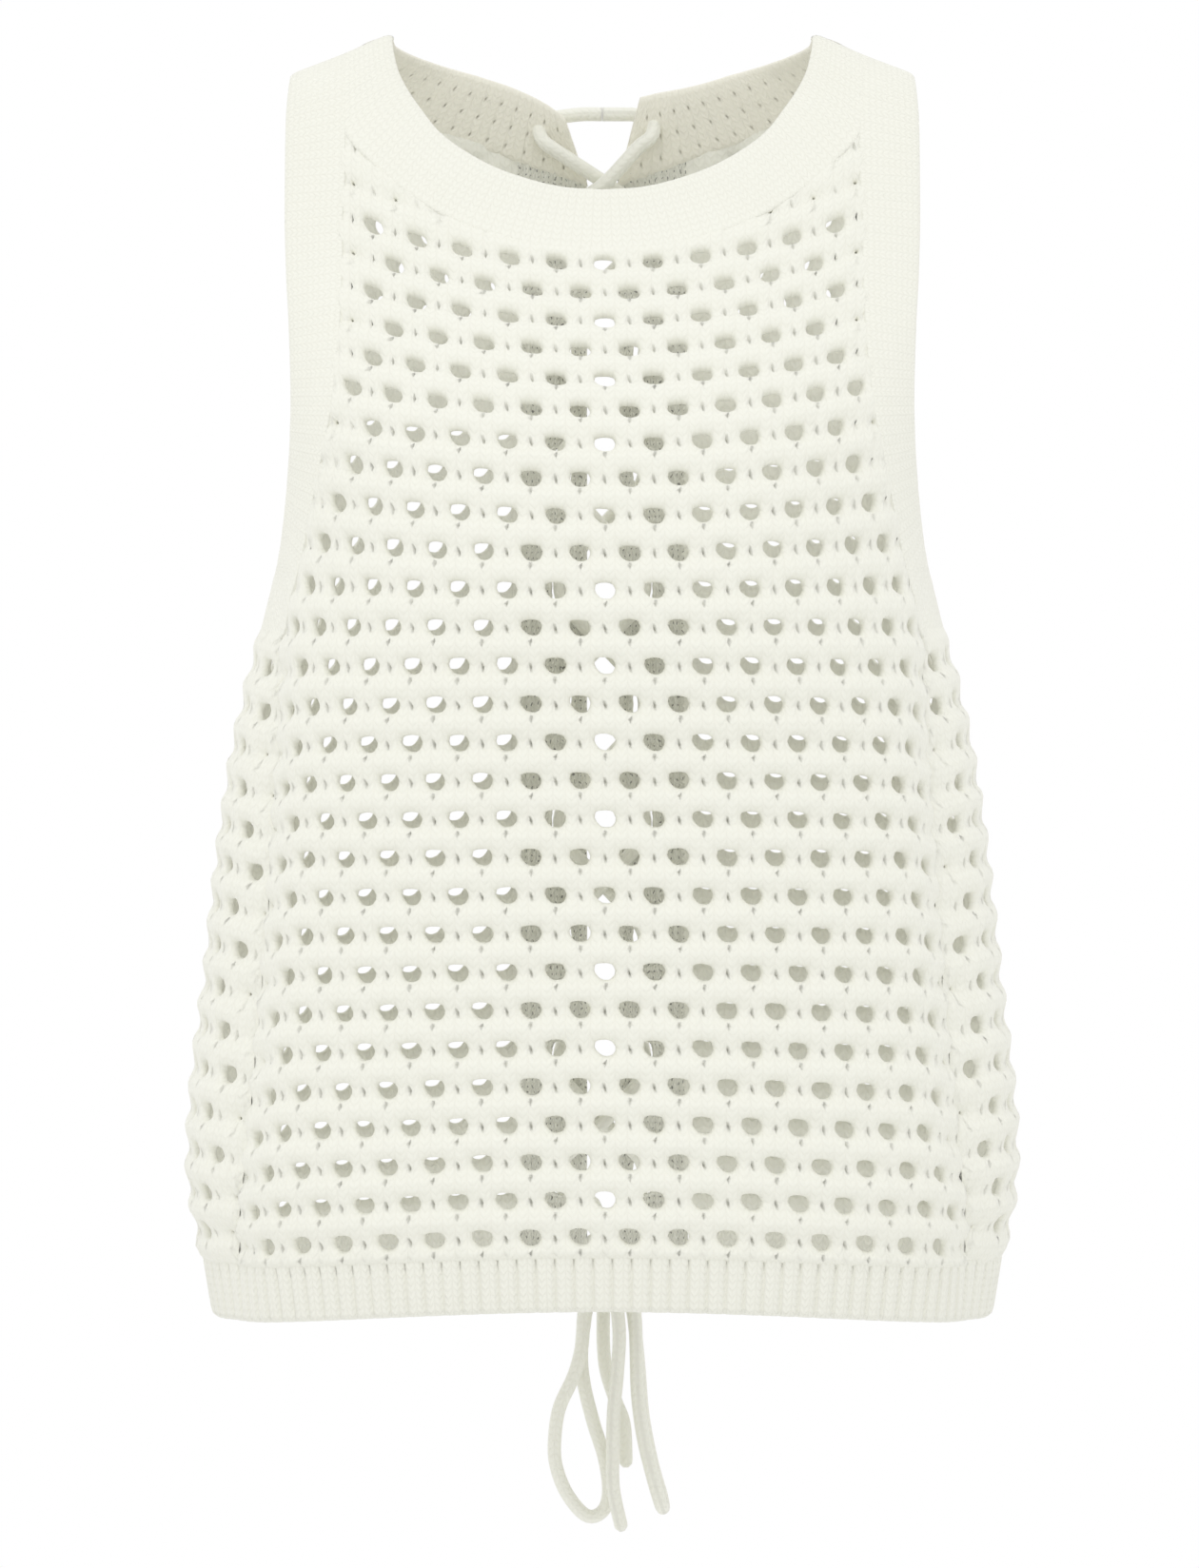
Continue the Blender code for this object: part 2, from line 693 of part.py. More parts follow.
def make_armhole_band(name, mirror, front_sides, back_sides, underarm):
    """Make one armhole band from the panels' seam points."""
    arm = [row for row in ARMHOLE]
    front_tip = max(14.0, front_sides[0][1])
    back_tip = back_sides[0][1]
    stations = [((r[0], r[1]), (r[2], r[3])) for r in arm[:10] if r[3] < front_tip - 2.0]
    seam_points = [p for i, p in enumerate(front_sides) if i == 0 or p != front_sides[i - 1]]
    seam_points = [p for p in seam_points if p[1] < underarm[0][1] - 3.0]
    seam_points += list(underarm)
    back_points = [p for i, p in enumerate(back_sides) if i == 0 or p != back_sides[i - 1]]
    seam_points += back_points[::-1]
    for turn, drop in seam_points:
        stations.append((band_station(ARMHOLE, turn, drop), (abs(turn), drop)))
    stations += [((r[0], r[1]), (r[2], r[3])) for r in arm[20:] if r[3] < back_tip - 2.0]
    rings = [ring(edge, seam, BAND_PROFILE, SEAM_GAP, mirror) for edge, seam in stations]
    return make_band(name, "armhole_band", rings)


def make_neckband_front(tops):
    """Make the front neckband from the panel's seam points."""
    strap = [((r[0], r[1]), (r[2], r[3])) for r in NECK_FRONT[:5] if r[3] < tops[-1][1] - 2.0]
    stations = [(e, s, True) for e, s in strap]
    for turn, drop in tops:
        edge = band_station(NECK_FRONT, turn, drop)
        stations.append((edge, (abs(turn), drop), turn < 0))
    stations += [(e, s, False) for e, s in strap[::-1]]
    rings = [ring(e, s, BAND_PROFILE, SEAM_GAP, m) for e, s, m in stations]
    return make_band("neckband_front", "neckband", rings)


def make_neckband_back(name, mirror, tops, sag):
    """Make one back neckband from the panel's seam points."""
    strap = [((r[0], r[1]), (r[2], r[3])) for r in NECK_BACK[:5] if r[3] < tops[0][1] - 2.0]
    stations = list(strap)
    for turn, drop in tops:
        stations.append((band_station(NECK_BACK, turn, drop), (turn, drop)))
    for row in NECK_BACK[-2:]:
        stations.append(((row[0], row[1]), (row[2], row[3])))
    rings = []
    for edge, seam in stations:
        share = min(max((edge[0] - 165.0) / 9.8, 0.0), 1.0)
        rings.append(ring(edge, seam, BAND_PROFILE, 2 * SEAM_GAP, mirror, sag * share**2))
    return make_band(name, "neckband", rings)


def make_hem_rib(name, start, end, mirror=False):
    """Make a length of the ribbed hem between two turns."""
    turns = np.linspace(start, end, 241)
    points = surface(turns, row_drops(HEM_END_ROW, turns))
    length = float(np.linalg.norm(np.diff(points, axis=0), axis=1).sum())
    ribs = round(length / HEM_RIB_PITCH)
    shares = np.linspace(0.0, 1.0, 2 * ribs + 1)
    outer = []
    inner = []
    for row in (HEM_START_ROW, HEM_END_ROW):
        at = spaced_turns(row, start, end, shares)
        drops = row_drops(row, at)
        depth = np.where(np.arange(len(at)) % 2 == 1, HEM_CREST, HEM_GROOVE)
        outer.append(skin(at, drops, depth))
        some = at[::4] if (len(at) - 1) % 4 == 0 else np.append(at[::4], at[-1])
        inner.append(skin(some, row_drops(row, some), HEM_INSIDE))
    if mirror:
        outer = [mirrored(line) for line in outer]
        inner = [mirrored(line) for line in inner]
    wall = Wall()
    wall.grid(outer)
    wall.grid(inner, True)
    for line in (0, -1):
        wall.strip(outer[line], inner[line])
        wall.strip([r[line] for r in outer], [r[line] for r in inner])
    return wall.finish(name, "hem_rib")


def make_placket(name, mirror):
    """Make one knit strip down the back opening, cut by its eyelets."""
    xs = (PLACKET_SEAM_X, 22.0, PLACKET_EDGE_X)
    seam_turns, seam_drops = table_line(NECK_BACK[3:], "seam_turn", "seam_drop")
    bottom = float(row_drops(HEM_END_ROW, np.array([170.0]))[0])
    outer = []
    inner = []
    for share in np.linspace(0.0, 1.0, 17):
        line = []
        for x in xs:
            turn = float(turn_at(x, 52.0))
            top = float(smooth(turn, seam_turns, seam_drops)) + SEAM_GAP
            drop = top + (bottom - top) * share
            line.append((float(turn_at(x, drop)), drop))
        turns = np.array([p[0] for p in line])
        drops = np.array([p[1] for p in line])
        outer.append(skin(turns, drops, PLACKET_OUTSIDE))
        inner.append(skin(turns, drops, PLACKET_INSIDE))
    if mirror:
        outer = [mirrored(line) for line in outer]
        inner = [mirrored(line) for line in inner]
    wall = Wall()
    wall.grid(outer)
    wall.grid(inner, True)
    for line in (0, -1):
        wall.strip(outer[line], inner[line])
        wall.strip([r[line] for r in outer], [r[line] for r in inner])
    placket = wall.finish(name, "placket")
    holes = [(EYELET_X, FIRST_EYELET_DROP + EYELET_PITCH * k) for k in range(EYELET_ROWS)]
    cut_eyelets(placket, holes, mirror, EYELET_WIDTH, EYELET_HEIGHT)
    return placket


def cut_eyelets(cloth, holes, mirror, width, height):
    """Cut oval holes through a piece of the back."""
    shape = bmesh.new()
    for x, drop in holes:
        turn = float(turn_at(x, drop))
        centre = skin(turn, drop, (PLACKET_OUTSIDE + PLACKET_INSIDE) / 2)
        normal = skin(turn, drop, 1.0) - skin(turn, drop, 0.0)
        ends = []
        for reach in (-7.0, 7.0):
            corners = []
            for k in range(12):
                angle = 2 * math.pi * (k + 0.5) / 12
                along = math.copysign(abs(math.cos(angle)) ** 0.5, math.cos(angle))
                up = math.copysign(abs(math.sin(angle)) ** 0.5, math.sin(angle))
                offset = np.array([width / 2 * along, 0.0, height / 2 * up])
                point = centre + normal * reach + offset
                point = mirrored(point) if mirror else point
                corners.append(shape.verts.new([float(v) * MM for v in point]))
            ends.append(corners)
        for k in range(12):
            n = (k + 1) % 12
            shape.faces.new((ends[0][k], ends[0][n], ends[1][n], ends[1][k]))
        shape.faces.new(ends[0][::-1])
        shape.faces.new(ends[1])
    bmesh.ops.recalc_face_normals(shape, faces=shape.faces)
    mesh = bpy.data.meshes.new(cloth.name + "_eyelet_cut")
    shape.to_mesh(mesh)
    shape.free()
    cutter = bpy.data.objects.new(mesh.name, mesh)
    bpy.data.collections["cutters"].objects.link(cutter)
    cutter.hide_render = True
    cutter.display_type = "WIRE"
    cut = cloth.modifiers.new("eyelets", "BOOLEAN")
    cut.operation = "DIFFERENCE"
    cut.solver = "EXACT"
    cut.object = cutter


# ------------------------------------------------------------------------ lace
def back_place(x, drop, depth):
    """Point behind or inside the back, measured from the middle of the cloth."""
    turn = float(turn_at(x, drop))
    point = skin(turn, drop, (PLACKET_OUTSIDE + PLACKET_INSIDE) / 2 + depth)
    return mirrored(point) if x < 0 else point


def rounded(points, per_span=6):
    """Smooth line through route points."""
    points = np.asarray(points, float)
    padded = np.concatenate([[2 * points[0] - points[1]], points, [2 * points[-1] - points[-2]]])
    line = []
    for k in range(1, len(padded) - 2):
        a, b, c, d = padded[k - 1:k + 3]
        for t in np.linspace(0.0, 1.0, per_span, endpoint=False):
            line.append(0.5 * (2 * b + (c - a) * t + (2 * a - 5 * b + 4 * c - d) * t**2
                               + (3 * b - 3 * c + d - a) * t**3))
    line.append(points[-1])
    return np.array(line)


def make_cord(name, points, spacing=9.0):
    """Make a round cord along a smooth line through its route points."""
    line = rounded(points)
    run = np.concatenate([[0.0], np.cumsum(np.linalg.norm(np.diff(line, axis=0), axis=1))])
    count = max(int(round(run[-1] / spacing)), 4)
    at = np.linspace(0.0, run[-1], count + 1)
    even = np.stack([np.interp(at, run, line[:, k]) for k in range(3)], -1)
    curve = bpy.data.curves.new(name, "CURVE")
    curve.dimensions = "3D"
    curve.bevel_depth = CORD / 2 * MM
    curve.bevel_resolution = 2
    curve.use_fill_caps = True
    spline = curve.splines.new("POLY")
    spline.points.add(len(even) - 1)
    for target, point in zip(spline.points, even):
        target.co = [float(v) * MM for v in point] + [1.0]
    return add_object(name, curve, "lace")


def strand_route(side):
    """Route of half of the lace, from the top bar's middle to the knot."""
    _, x, top_drop = TOP_EYELETS[0 if side < 0 else 1]
    top_x = side * x
    route = [
        back_place(side * 0.15, 31.5, 6.8),
        back_place(side * 9.0, 31.6, 7.0),
        back_place(top_x - side * 8.0, top_drop - 2.2, 7.0),
        back_place(top_x - side * 1.8, top_drop - 1.6, 3.9),
        back_place(top_x, top_drop, -0.6),
        back_place(top_x - side * 1.6, top_drop + 3.0, -5.6),
        back_place(top_x - side * 7.0, top_drop + 6.5, -8.0),
    ]
    previous_drop = 2 * 55.0 - FIRST_EYELET_DROP
    face = -1.0
    for k in range(EYELET_ROWS):
        hand = -side if k % 2 == 0 else side
        drop = FIRST_EYELET_DROP + EYELET_PITCH * k
        far = (k % 2 == 0) == (side > 0)
        lift = CORD_LIFT + 0.5 + (CORD_CROSS if far else 0.0)
        route.append(back_place(0.0, (previous_drop + drop) / 2, face * lift))
        for share, depth in LACE_PASS:
            angle = math.radians(44.0) * share
            x = hand * (LACE_X - LACE_BEND * (1 - math.cos(angle)))
            z = drop + LACE_BEND * math.sin(angle)
            route.append(back_place(x, z, face * depth))
        previous_drop = drop
        face = -face
    return route


def make_knot():
    """Make the bow's knot as one rounded lump."""
    shape = bmesh.new()
    bmesh.ops.create_uvsphere(shape, u_segments=16, v_segments=10, radius=1.0)
    for vertex in shape.verts:
        place = [c + s * v for c, s, v in zip(KNOT_CENTRE, KNOT_SIZE, vertex.co)]
        vertex.co = [value * MM for value in place]
    mesh = bpy.data.meshes.new("lace_knot")
    shape.to_mesh(mesh)
    shape.free()
    return add_object("lace_knot", mesh, "lace")


def make_lace():
    """Make the laced strands, the knot, the loops and the tails."""
    for name, side in (("lace_strand_left", -1.0), ("lace_strand_right", 1.0)):
        route = strand_route(side)
        hand = math.copysign(1.0, route[-1][0])
        x, y, z = KNOT_CENTRE
        route.append([x + hand * 8.0, y - 2.0, z + 13.5])
        route.append([x + hand * 5.5, y - 1.0, z + 9.5])
        make_cord(name, route)
    make_knot()
    make_cord("lace_loop_left", [
        (-3.2, 110.4, -522.5), (-5.0, 110.2, -533.0), (-8.0, 109.8, -550.0),
        (-9.0, 109.0, -564.0), (-12.5, 109.0, -577.0), (-18.9, 110.5, -591.5),
        (-21.0, 112.0, -606.7), (-20.2, 113.0, -617.6), (-16.0, 114.5, -629.0),
        (-9.2, 116.0, -638.2), (-3.8, 116.5, -640.3), (1.3, 117.0, -636.5),
        (2.9, 117.0, -627.7), (0.8, 117.0, -613.8), (-3.8, 117.0, -599.1),
        (-8.0, 117.0, -582.0), (-9.2, 118.0, -568.0), (-7.5, 118.6, -552.0),
        (-4.6, 118.0, -534.0), (-3.2, 117.6, -522.5),
    ])
    make_cord("lace_loop_right", [
        (9.2, 110.4, -522.0), (11.0, 110.2, -533.0), (14.0, 110.0, -547.0),
        (14.9, 110.0, -563.0), (15.5, 110.5, -584.0), (17.8, 111.0, -603.0),
        (22.0, 112.0, -621.0), (25.5, 115.0, -633.5), (26.9, 120.0, -637.0),
        (26.0, 125.5, -632.0), (22.0, 127.5, -618.0), (18.0, 127.0, -597.0),
        (16.0, 125.5, -573.0), (13.6, 122.5, -551.0), (10.6, 118.8, -534.0),
        (9.2, 117.6, -522.0),
    ])
    make_cord("lace_tail_left", [
        (3.0, 120.9, -521.7), (2.0, 123.5, -534.0), (0.5, 125.5, -552.0), (1.2, 125.5, -574.0),
        (5.8, 125.0, -590.0), (9.7, 124.5, -601.0), (10.5, 124.0, -619.7),
    ])
    make_cord("lace_tail_right", [
        (3.0, 106.8, -522.5), (4.8, 105.8, -534.0), (7.4, 105.5, -556.0), (6.6, 107.0, -575.0),
        (5.0, 108.0, -593.0), (4.6, 108.5, -610.4), (4.9, 108.5, -627.0), (8.8, 108.5, -645.3),
    ])


# ------------------------------------------------------------------------ main
def main():
    """Make the whole garment."""
    for thing in list(bpy.data.objects):
        bpy.data.objects.remove(thing, do_unlink=True)
    for name in ("knit_top", "cutters"):
        bpy.context.scene.collection.children.link(bpy.data.collections.new(name))
    tops, sides = make_front_panel()
    side_turn = float(side_seam(510.0, "turn"))
    make_hem_rib("hem_rib_front", -side_turn + 0.07, side_turn - 0.07)
    make_neckband_front(tops)
    placket_side = float(turn_at(PLACKET_SEAM_X + SEAM_GAP, 525.0))
    for name, sign, sag in BACK_END_SAG:
        mirror = sign < 0
        back_tops, arm_points, underarm = make_back_panel("back_panel_" + name, mirror)
        make_armhole_band("armhole_band_" + name, mirror, sides, arm_points, underarm)
        make_neckband_back("neckband_back_" + name, mirror, back_tops, sag)
        make_hem_rib("hem_rib_back_" + name, side_turn + 0.07, placket_side, mirror)
        make_placket("placket_" + name, mirror)
        cloth = bpy.data.objects["neckband_back_" + name]
        holes = [(x, drop) for side, x, drop in TOP_EYELETS if side == name]
        cut_eyelets(cloth, holes, mirror, TOP_EYELET_SIZE, TOP_EYELET_SIZE)
    make_lace()


main()
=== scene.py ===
"""Knitted cloth, lace and stage of a sleeveless openwork top with a laced back."""
import math

import bmesh
import bpy
import numpy as np
from bpy.props import FloatProperty, FloatVectorProperty, IntProperty, PointerProperty
from mathutils import Matrix


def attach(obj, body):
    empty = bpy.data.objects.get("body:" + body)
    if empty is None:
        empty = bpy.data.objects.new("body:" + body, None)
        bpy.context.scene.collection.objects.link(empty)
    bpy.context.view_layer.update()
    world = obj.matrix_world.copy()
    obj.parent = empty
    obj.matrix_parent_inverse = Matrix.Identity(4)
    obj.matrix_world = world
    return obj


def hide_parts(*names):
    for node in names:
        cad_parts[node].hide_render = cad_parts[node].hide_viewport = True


bl_info = {
    "name": "Openwork Knit Top",
    "version": (1, 0, 0),
    "blender": (4, 5, 0),
    "location": "3D View > Sidebar > Knit Top",
    "description": "Knits the cloth and the lace of a sleeveless top over its solids",
    "category": "Object",
}

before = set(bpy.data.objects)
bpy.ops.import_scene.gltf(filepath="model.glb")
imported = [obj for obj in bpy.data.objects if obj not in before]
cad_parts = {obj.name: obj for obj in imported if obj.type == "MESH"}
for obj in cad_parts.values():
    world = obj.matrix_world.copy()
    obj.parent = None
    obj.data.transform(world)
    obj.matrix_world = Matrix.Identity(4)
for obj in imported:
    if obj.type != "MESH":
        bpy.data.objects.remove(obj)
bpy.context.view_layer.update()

def table(names, *rows):
    """Columns of numbers by their names."""
    return dict(zip(names.split(), np.array(rows, float).T))


# ---- dimensions
# Millimetres and degrees, with the origin between the high shoulder points.
# "drop" is the distance below them; "turn" runs round the body from the centre
# front (0) to the centre back (180), with plus on +X. Rows are counted in
# knit rows: holes lie on whole rows and ridges half way between them.
MM = 0.001
FULLNESS = 2.5
SIDE_LINE_Y = 8.0
SHOULDER_ROUNDING = 18.0
SECTIONS = table(
    "drop half_width front back",
    (-20, 178, 10, 20), (0, 178, 0, 38), (20, 177, -12, 50), (40, 176, -25, 60),
    (60, 173, -36, 68), (80, 170, -46, 75), (100, 164, -58, 81), (130, 153, -81, 89),
    (160, 143, -102, 94), (200, 137, -116, 98), (225, 137.5, -121, 99), (240, 141, -123, 99),
    (270, 149, -123, 98), (300, 155.5, -122, 97), (340, 161.5, -121, 96), (400, 168, -121, 98),
    (440, 173, -121, 101), (480, 173.8, -120, 104), (505, 169.5, -117, 102),
    (537, 164.4, -112, 98), (565, 160, -108, 95),
)
SHOULDER_RIDGE = table(
    "x drop",
    (0, -3), (70, -3), (88, 0), (107.5, 8), (131, 17), (150, 24), (180, 34),
)
SIDE_SEAM = table(
    "drop turn crease dip",
    (200, 70, 0, 0), (231, 67.5, 1, 0.5), (250, 64, 3.5, 2), (285, 59, 6, 4), (330, 56.5, 7, 4),
    (390, 55.5, 7, 4), (470, 56, 6.5, 3), (505, 59, 4, 0), (537, 62, 2, 0), (560, 63, 2, 0),
)
CREASE_SPREAD = 7.0
CREASE_START = 225.0
SETTLING_PASSES = 6
FIRST_ROW_DROP = 99.3
ROW_PITCH = 15.1
TOP_ROW = -6.0
PANEL_END_ROW = 27.4
HEM_START_ROW = 27.43
HEM_END_ROW = 29.05
UNDERARM_ROW = 11.0
TILT_WIDTH = 120.0
ROW_TILT = table(
    "drop front_lift back_lift",
    (0, 40, 26), (60, 34, 22), (99.3, 26.5, 18), (150, 15, 11), (200, 7, 6), (250, 0.5, 1.5),
    (364, -2.5, 0), (525, -7.4, -2), (560, -8, -2),
)
RIDGE_HEIGHT = 2.9
PANEL_INSIDE = -5.7
PANEL_MIDDLE = -3.3
PLACKET_OUTSIDE = -1.4
PLACKET_INSIDE = -4.8
PLACKET_EDGE_X = 6.6
PLACKET_SEAM_X = 37.5
RIDGE_NORMAL = np.array([0.37, 0.0, 0.93])
ARMHOLE = table(
    "edge_turn edge_drop seam_turn seam_drop",
    (43.6, 16, 34.75, 7), (43.6, 19, 34.7, 10), (43.7, 26, 34.7, 17), (44, 40, 34.7, 34),
    (45, 60, 35.4, 58), (46, 80, 36.3, 78), (48, 100, 37.6, 97), (50.6, 120, 39.5, 116),
    (54, 140, 42.6, 138), (58.5, 161, 47, 162), (63.5, 182, 52.5, 187), (69, 202, 57.5, 212),
    (74.5, 215, 61, 233), (80, 222, 64.1, 250), (86, 224.5, 76, 248.6), (93, 223, 87, 248),
    (99.5, 218, 96, 247.5), (105, 210, 107, 234), (110, 199, 116.5, 217), (114.6, 184, 124, 196),
    (119.2, 163, 129.5, 169), (124, 141, 134.5, 144), (128.2, 120, 138.5, 121),
    (131.5, 100, 141.5, 100), (134, 80, 143.5, 79), (135.2, 60, 144.5, 58), (136, 40, 145.2, 34),
    (136.3, 26, 145.3, 17), (136.4, 19, 145.3, 10), (136.4, 16, 145.3, 7),
)
NECK_FRONT = table(
    "edge_turn edge_drop seam_turn seam_drop",
    (28.1, -1.5, 34.55, 7), (28, 2, 34.55, 10), (27.7, 8, 34.55, 17), (26.9, 17.5, 34.5, 30),
    (25.6, 25.5, 34.3, 43), (24, 33, 31.5, 54), (21.8, 42.5, 28, 64.5), (19, 50, 24.5, 72.5),
    (15, 57.5, 20, 80.5), (10.5, 63, 14, 87.5), (5.5, 66.8, 7.5, 92), (0, 68, 0, 93.5),
)
NECK_BACK = table(
    "edge_turn edge_drop seam_turn seam_drop",
    (151.9, -1.5, 145.45, 7), (152.1, 1.8, 145.45, 10), (153, 3.4, 145.6, 14.5),
    (154.3, 5, 146.2, 21), (157, 7.8, 150.5, 28), (160.5, 11.2, 155.5, 34),
    (164.5, 15.2, 160.5, 39.5), (168.5, 18.8, 165.5, 44.5), (172, 22.2, 171.5, 51),
    (174.8, 26, 177.8, 57.5),
)
SIDES = (("left", -1.0, 4.5), ("right", 1.0, -4.0))

CORD_LIFT = 5.9
CORD_CROSS = 6.7
TOP_EYELETS = (("left", 27.0, 35.0), ("right", 22.0, 34.0))
EYELET_X = 17.7
LACE_X = 18.5
LACE_BEND = 16.0
FIRST_EYELET_DROP = 76.0
EYELET_PITCH = 51.5
EYELET_ROWS = 9
EYELET_WIDTH = 9.6
EYELET_HEIGHT = 17.0
LACE_PASS = (
    (-1.0, 6.6), (-0.6, 6.0), (-0.3, 3.4), (0.0, 0.0), (0.3, -3.4), (0.6, -6.0), (1.0, -6.6),
)
KNOT_CENTRE = (3.0, 114.0, -514.0)
LOOP_LEFT = (
    (-3.2, 110.4, -522.5), (-5, 110.2, -533), (-8, 109.8, -550), (-9, 109, -564),
    (-12.5, 109, -577), (-18.9, 110.5, -591.5), (-21, 112, -606.7), (-20.2, 113, -617.6),
    (-16, 114.5, -629), (-9.2, 116, -638.2), (-3.8, 116.5, -640.3), (1.3, 117, -636.5),
    (2.9, 117, -627.7), (0.8, 117, -613.8), (-3.8, 117, -599.1), (-8, 117, -582),
    (-9.2, 118, -568), (-7.5, 118.6, -552), (-4.6, 118, -534), (-3.2, 117.6, -522.5),
)
LOOP_RIGHT = (
    (9.2, 110.4, -522), (11, 110.2, -533), (14, 110, -547), (14.9, 110, -563), (15.5, 110.5, -584),
    (17.8, 111, -603), (22, 112, -621), (25.5, 115, -633.5), (26.9, 120, -637), (26, 125.5, -632),
    (22, 127.5, -618), (18, 127, -597), (16, 125.5, -573), (13.6, 122.5, -551),
    (10.6, 118.8, -534), (9.2, 117.6, -522),
)
TAIL_LEFT = (
    (3, 120.9, -521.7), (2, 123.5, -534), (0.5, 125.5, -552), (1.2, 125.5, -574), (5.8, 125, -590),
    (9.7, 124.5, -601), (10.5, 124, -619.7),
)
TAIL_RIGHT = (
    (3, 106.8, -522.5), (4.8, 105.8, -534), (7.4, 105.5, -556), (6.6, 107, -575), (5, 108, -593),
    (4.6, 108.5, -610.4), (4.9, 108.5, -627), (8.8, 108.5, -645.3),
)


# ---- shape of the body
def smooth(at, where, values):
    """Read a smooth curve through table points."""
    at = np.asarray(at, float)
    slope = np.gradient(values, where)
    i = np.clip(np.searchsorted(where, at) - 1, 0, len(where) - 2)
    step = where[i + 1] - where[i]
    t = np.clip((at - where[i]) / step, -0.5, 1.5)
    return ((2 * t**3 - 3 * t**2 + 1) * values[i] + (t**3 - 2 * t**2 + t) * step * slope[i]
            + (3 * t**2 - 2 * t**3) * values[i + 1] + (t**3 - t**2) * step * slope[i + 1])


def section(drop, name):
    """Read a section size at a drop."""
    return smooth(drop, SECTIONS["drop"], SECTIONS[name])


def side_seam(drop, name):
    """Read the side seam's turn, crease depth or row dip at a drop."""
    return smooth(drop, SIDE_SEAM["drop"], SIDE_SEAM[name])


def ridge_drop(x):
    """Drop of the shoulder ridge at a distance from the middle."""
    return smooth(np.abs(x), SHOULDER_RIDGE["x"], SHOULDER_RIDGE["drop"])


def unit(directions):
    """Directions brought to length 1."""
    return directions / np.maximum(np.linalg.norm(directions, axis=-1, keepdims=True), 1e-9)


def lengths(points):
    """Length run along a line up to each of its points."""
    return np.concatenate([[0.0], np.cumsum(np.linalg.norm(np.diff(points, axis=0), axis=1))])


def nearness_to_seam(turn, drop):
    """1 on the side seam, fading to 0 away from it."""
    return np.exp(-((np.abs(turn) - side_seam(drop, "turn")) / CREASE_SPREAD) ** 2)


def surface(turn, drop):
    """Point on the outer ridge tops of the garment."""
    turn, drop = np.broadcast_arrays(np.asarray(turn, float), np.asarray(drop, float))
    sine = np.sin(np.radians(turn))
    cosine = np.cos(np.radians(turn))
    reach = (np.abs(sine) ** FULLNESS + np.abs(cosine) ** FULLNESS) ** (-1 / FULLNESS)
    x = section(drop, "half_width") * sine * reach
    forward = SIDE_LINE_Y - section(drop, "front")
    backward = section(drop, "back") - SIDE_LINE_Y
    y = -np.where(cosine >= 0, forward, backward) * cosine * reach
    below = np.clip((drop - ridge_drop(x)) / SHOULDER_ROUNDING, 0.0, 1.0)
    y = y * np.sqrt(np.clip(1 - (1 - below) ** 2, 0.0, 1.0))
    crease = np.clip(side_seam(drop, "crease"), 0.0, None) * nearness_to_seam(turn, drop)
    crease = np.where(drop > CREASE_START, crease, 0.0)
    shrink = 1 - crease / np.maximum(np.hypot(x, y), 1.0)
    return np.stack([x * shrink, SIDE_LINE_Y + y * shrink, -drop], -1)


def outward(turn, drop):
    """Direction out of the cloth."""
    across = surface(turn + 0.05, drop) - surface(turn - 0.05, drop)
    down = surface(turn, drop + 0.1) - surface(turn, drop - 0.1)
    return unit(np.cross(down, across))


def skin(turn, drop, depth):
    """Point at a depth from the ridge tops, with minus inwards."""
    turn, drop, depth = np.broadcast_arrays(*(np.asarray(v, float) for v in (turn, drop, depth)))
    return surface(turn, drop) + outward(turn, drop) * depth[..., None]


def turn_at(x, drop):
    """Turn on the back at a distance from the middle."""
    share = np.clip(np.abs(x) / section(drop, "half_width"), 0.0, 0.9999)
    rest = (1 - share**FULLNESS) ** (1 / FULLNESS)
    return 180.0 - np.degrees(np.arctan2(share, rest))


def centre_drop(row):
    """Drop of a knit row at the centre front."""
    drops = np.linspace(0.0, 565.0, 1131)
    fronts = section(drops, "front")
    steps = np.hypot(np.diff(drops), np.diff(fronts))
    run = np.concatenate([[0.0], np.cumsum(steps)])
    start = np.interp(FIRST_ROW_DROP, drops, run)
    return np.interp(start + np.asarray(row, float) * ROW_PITCH, run, drops)


def row_drops(row, turns):
    """Drop of a knit row at each turn."""
    centre = float(centre_drop(row))
    front_lift, back_lift = (smooth(centre, ROW_TILT["drop"], ROW_TILT[name])
                             for name in ("front_lift", "back_lift"))
    side = centre
    for _ in range(SETTLING_PASSES):
        side = centre - front_lift * (section(side, "half_width") / TILT_WIDTH) ** 2
    back_centre = side + back_lift * (section(side, "half_width") / TILT_WIDTH) ** 2
    turns = np.asarray(turns, float)
    drops = np.full(turns.shape, centre)
    for _ in range(SETTLING_PASSES):
        fraction = (surface(turns, drops)[..., 0] / TILT_WIDTH) ** 2
        drops = np.where(np.abs(turns) <= 90.0, centre - front_lift * fraction,
                         back_centre - back_lift * fraction)
        near = nearness_to_seam(turns, drops)
        drops = drops + np.where(drops > CREASE_START, side_seam(drops, "dip"), 0.0) * near
    return drops


def row_crossing(row, turns, drops):
    """Turn where a row meets a line of turns and drops, from its top."""
    shares = np.linspace(0.0, len(turns) - 1.0, 20 * len(turns))
    line_turns = np.interp(shares, np.arange(len(turns)), turns)
    line_drops = np.interp(shares, np.arange(len(drops)), drops)
    over = line_drops - row_drops(row, line_turns)
    i = int(np.argmax(over > 0.0))
    if over[i] <= 0.0:
        return float(line_turns[-1])
    if i == 0:
        return float(line_turns[0])
    t = over[i - 1] / (over[i - 1] - over[i])
    return float(line_turns[i - 1] + t * (line_turns[i] - line_turns[i - 1]))


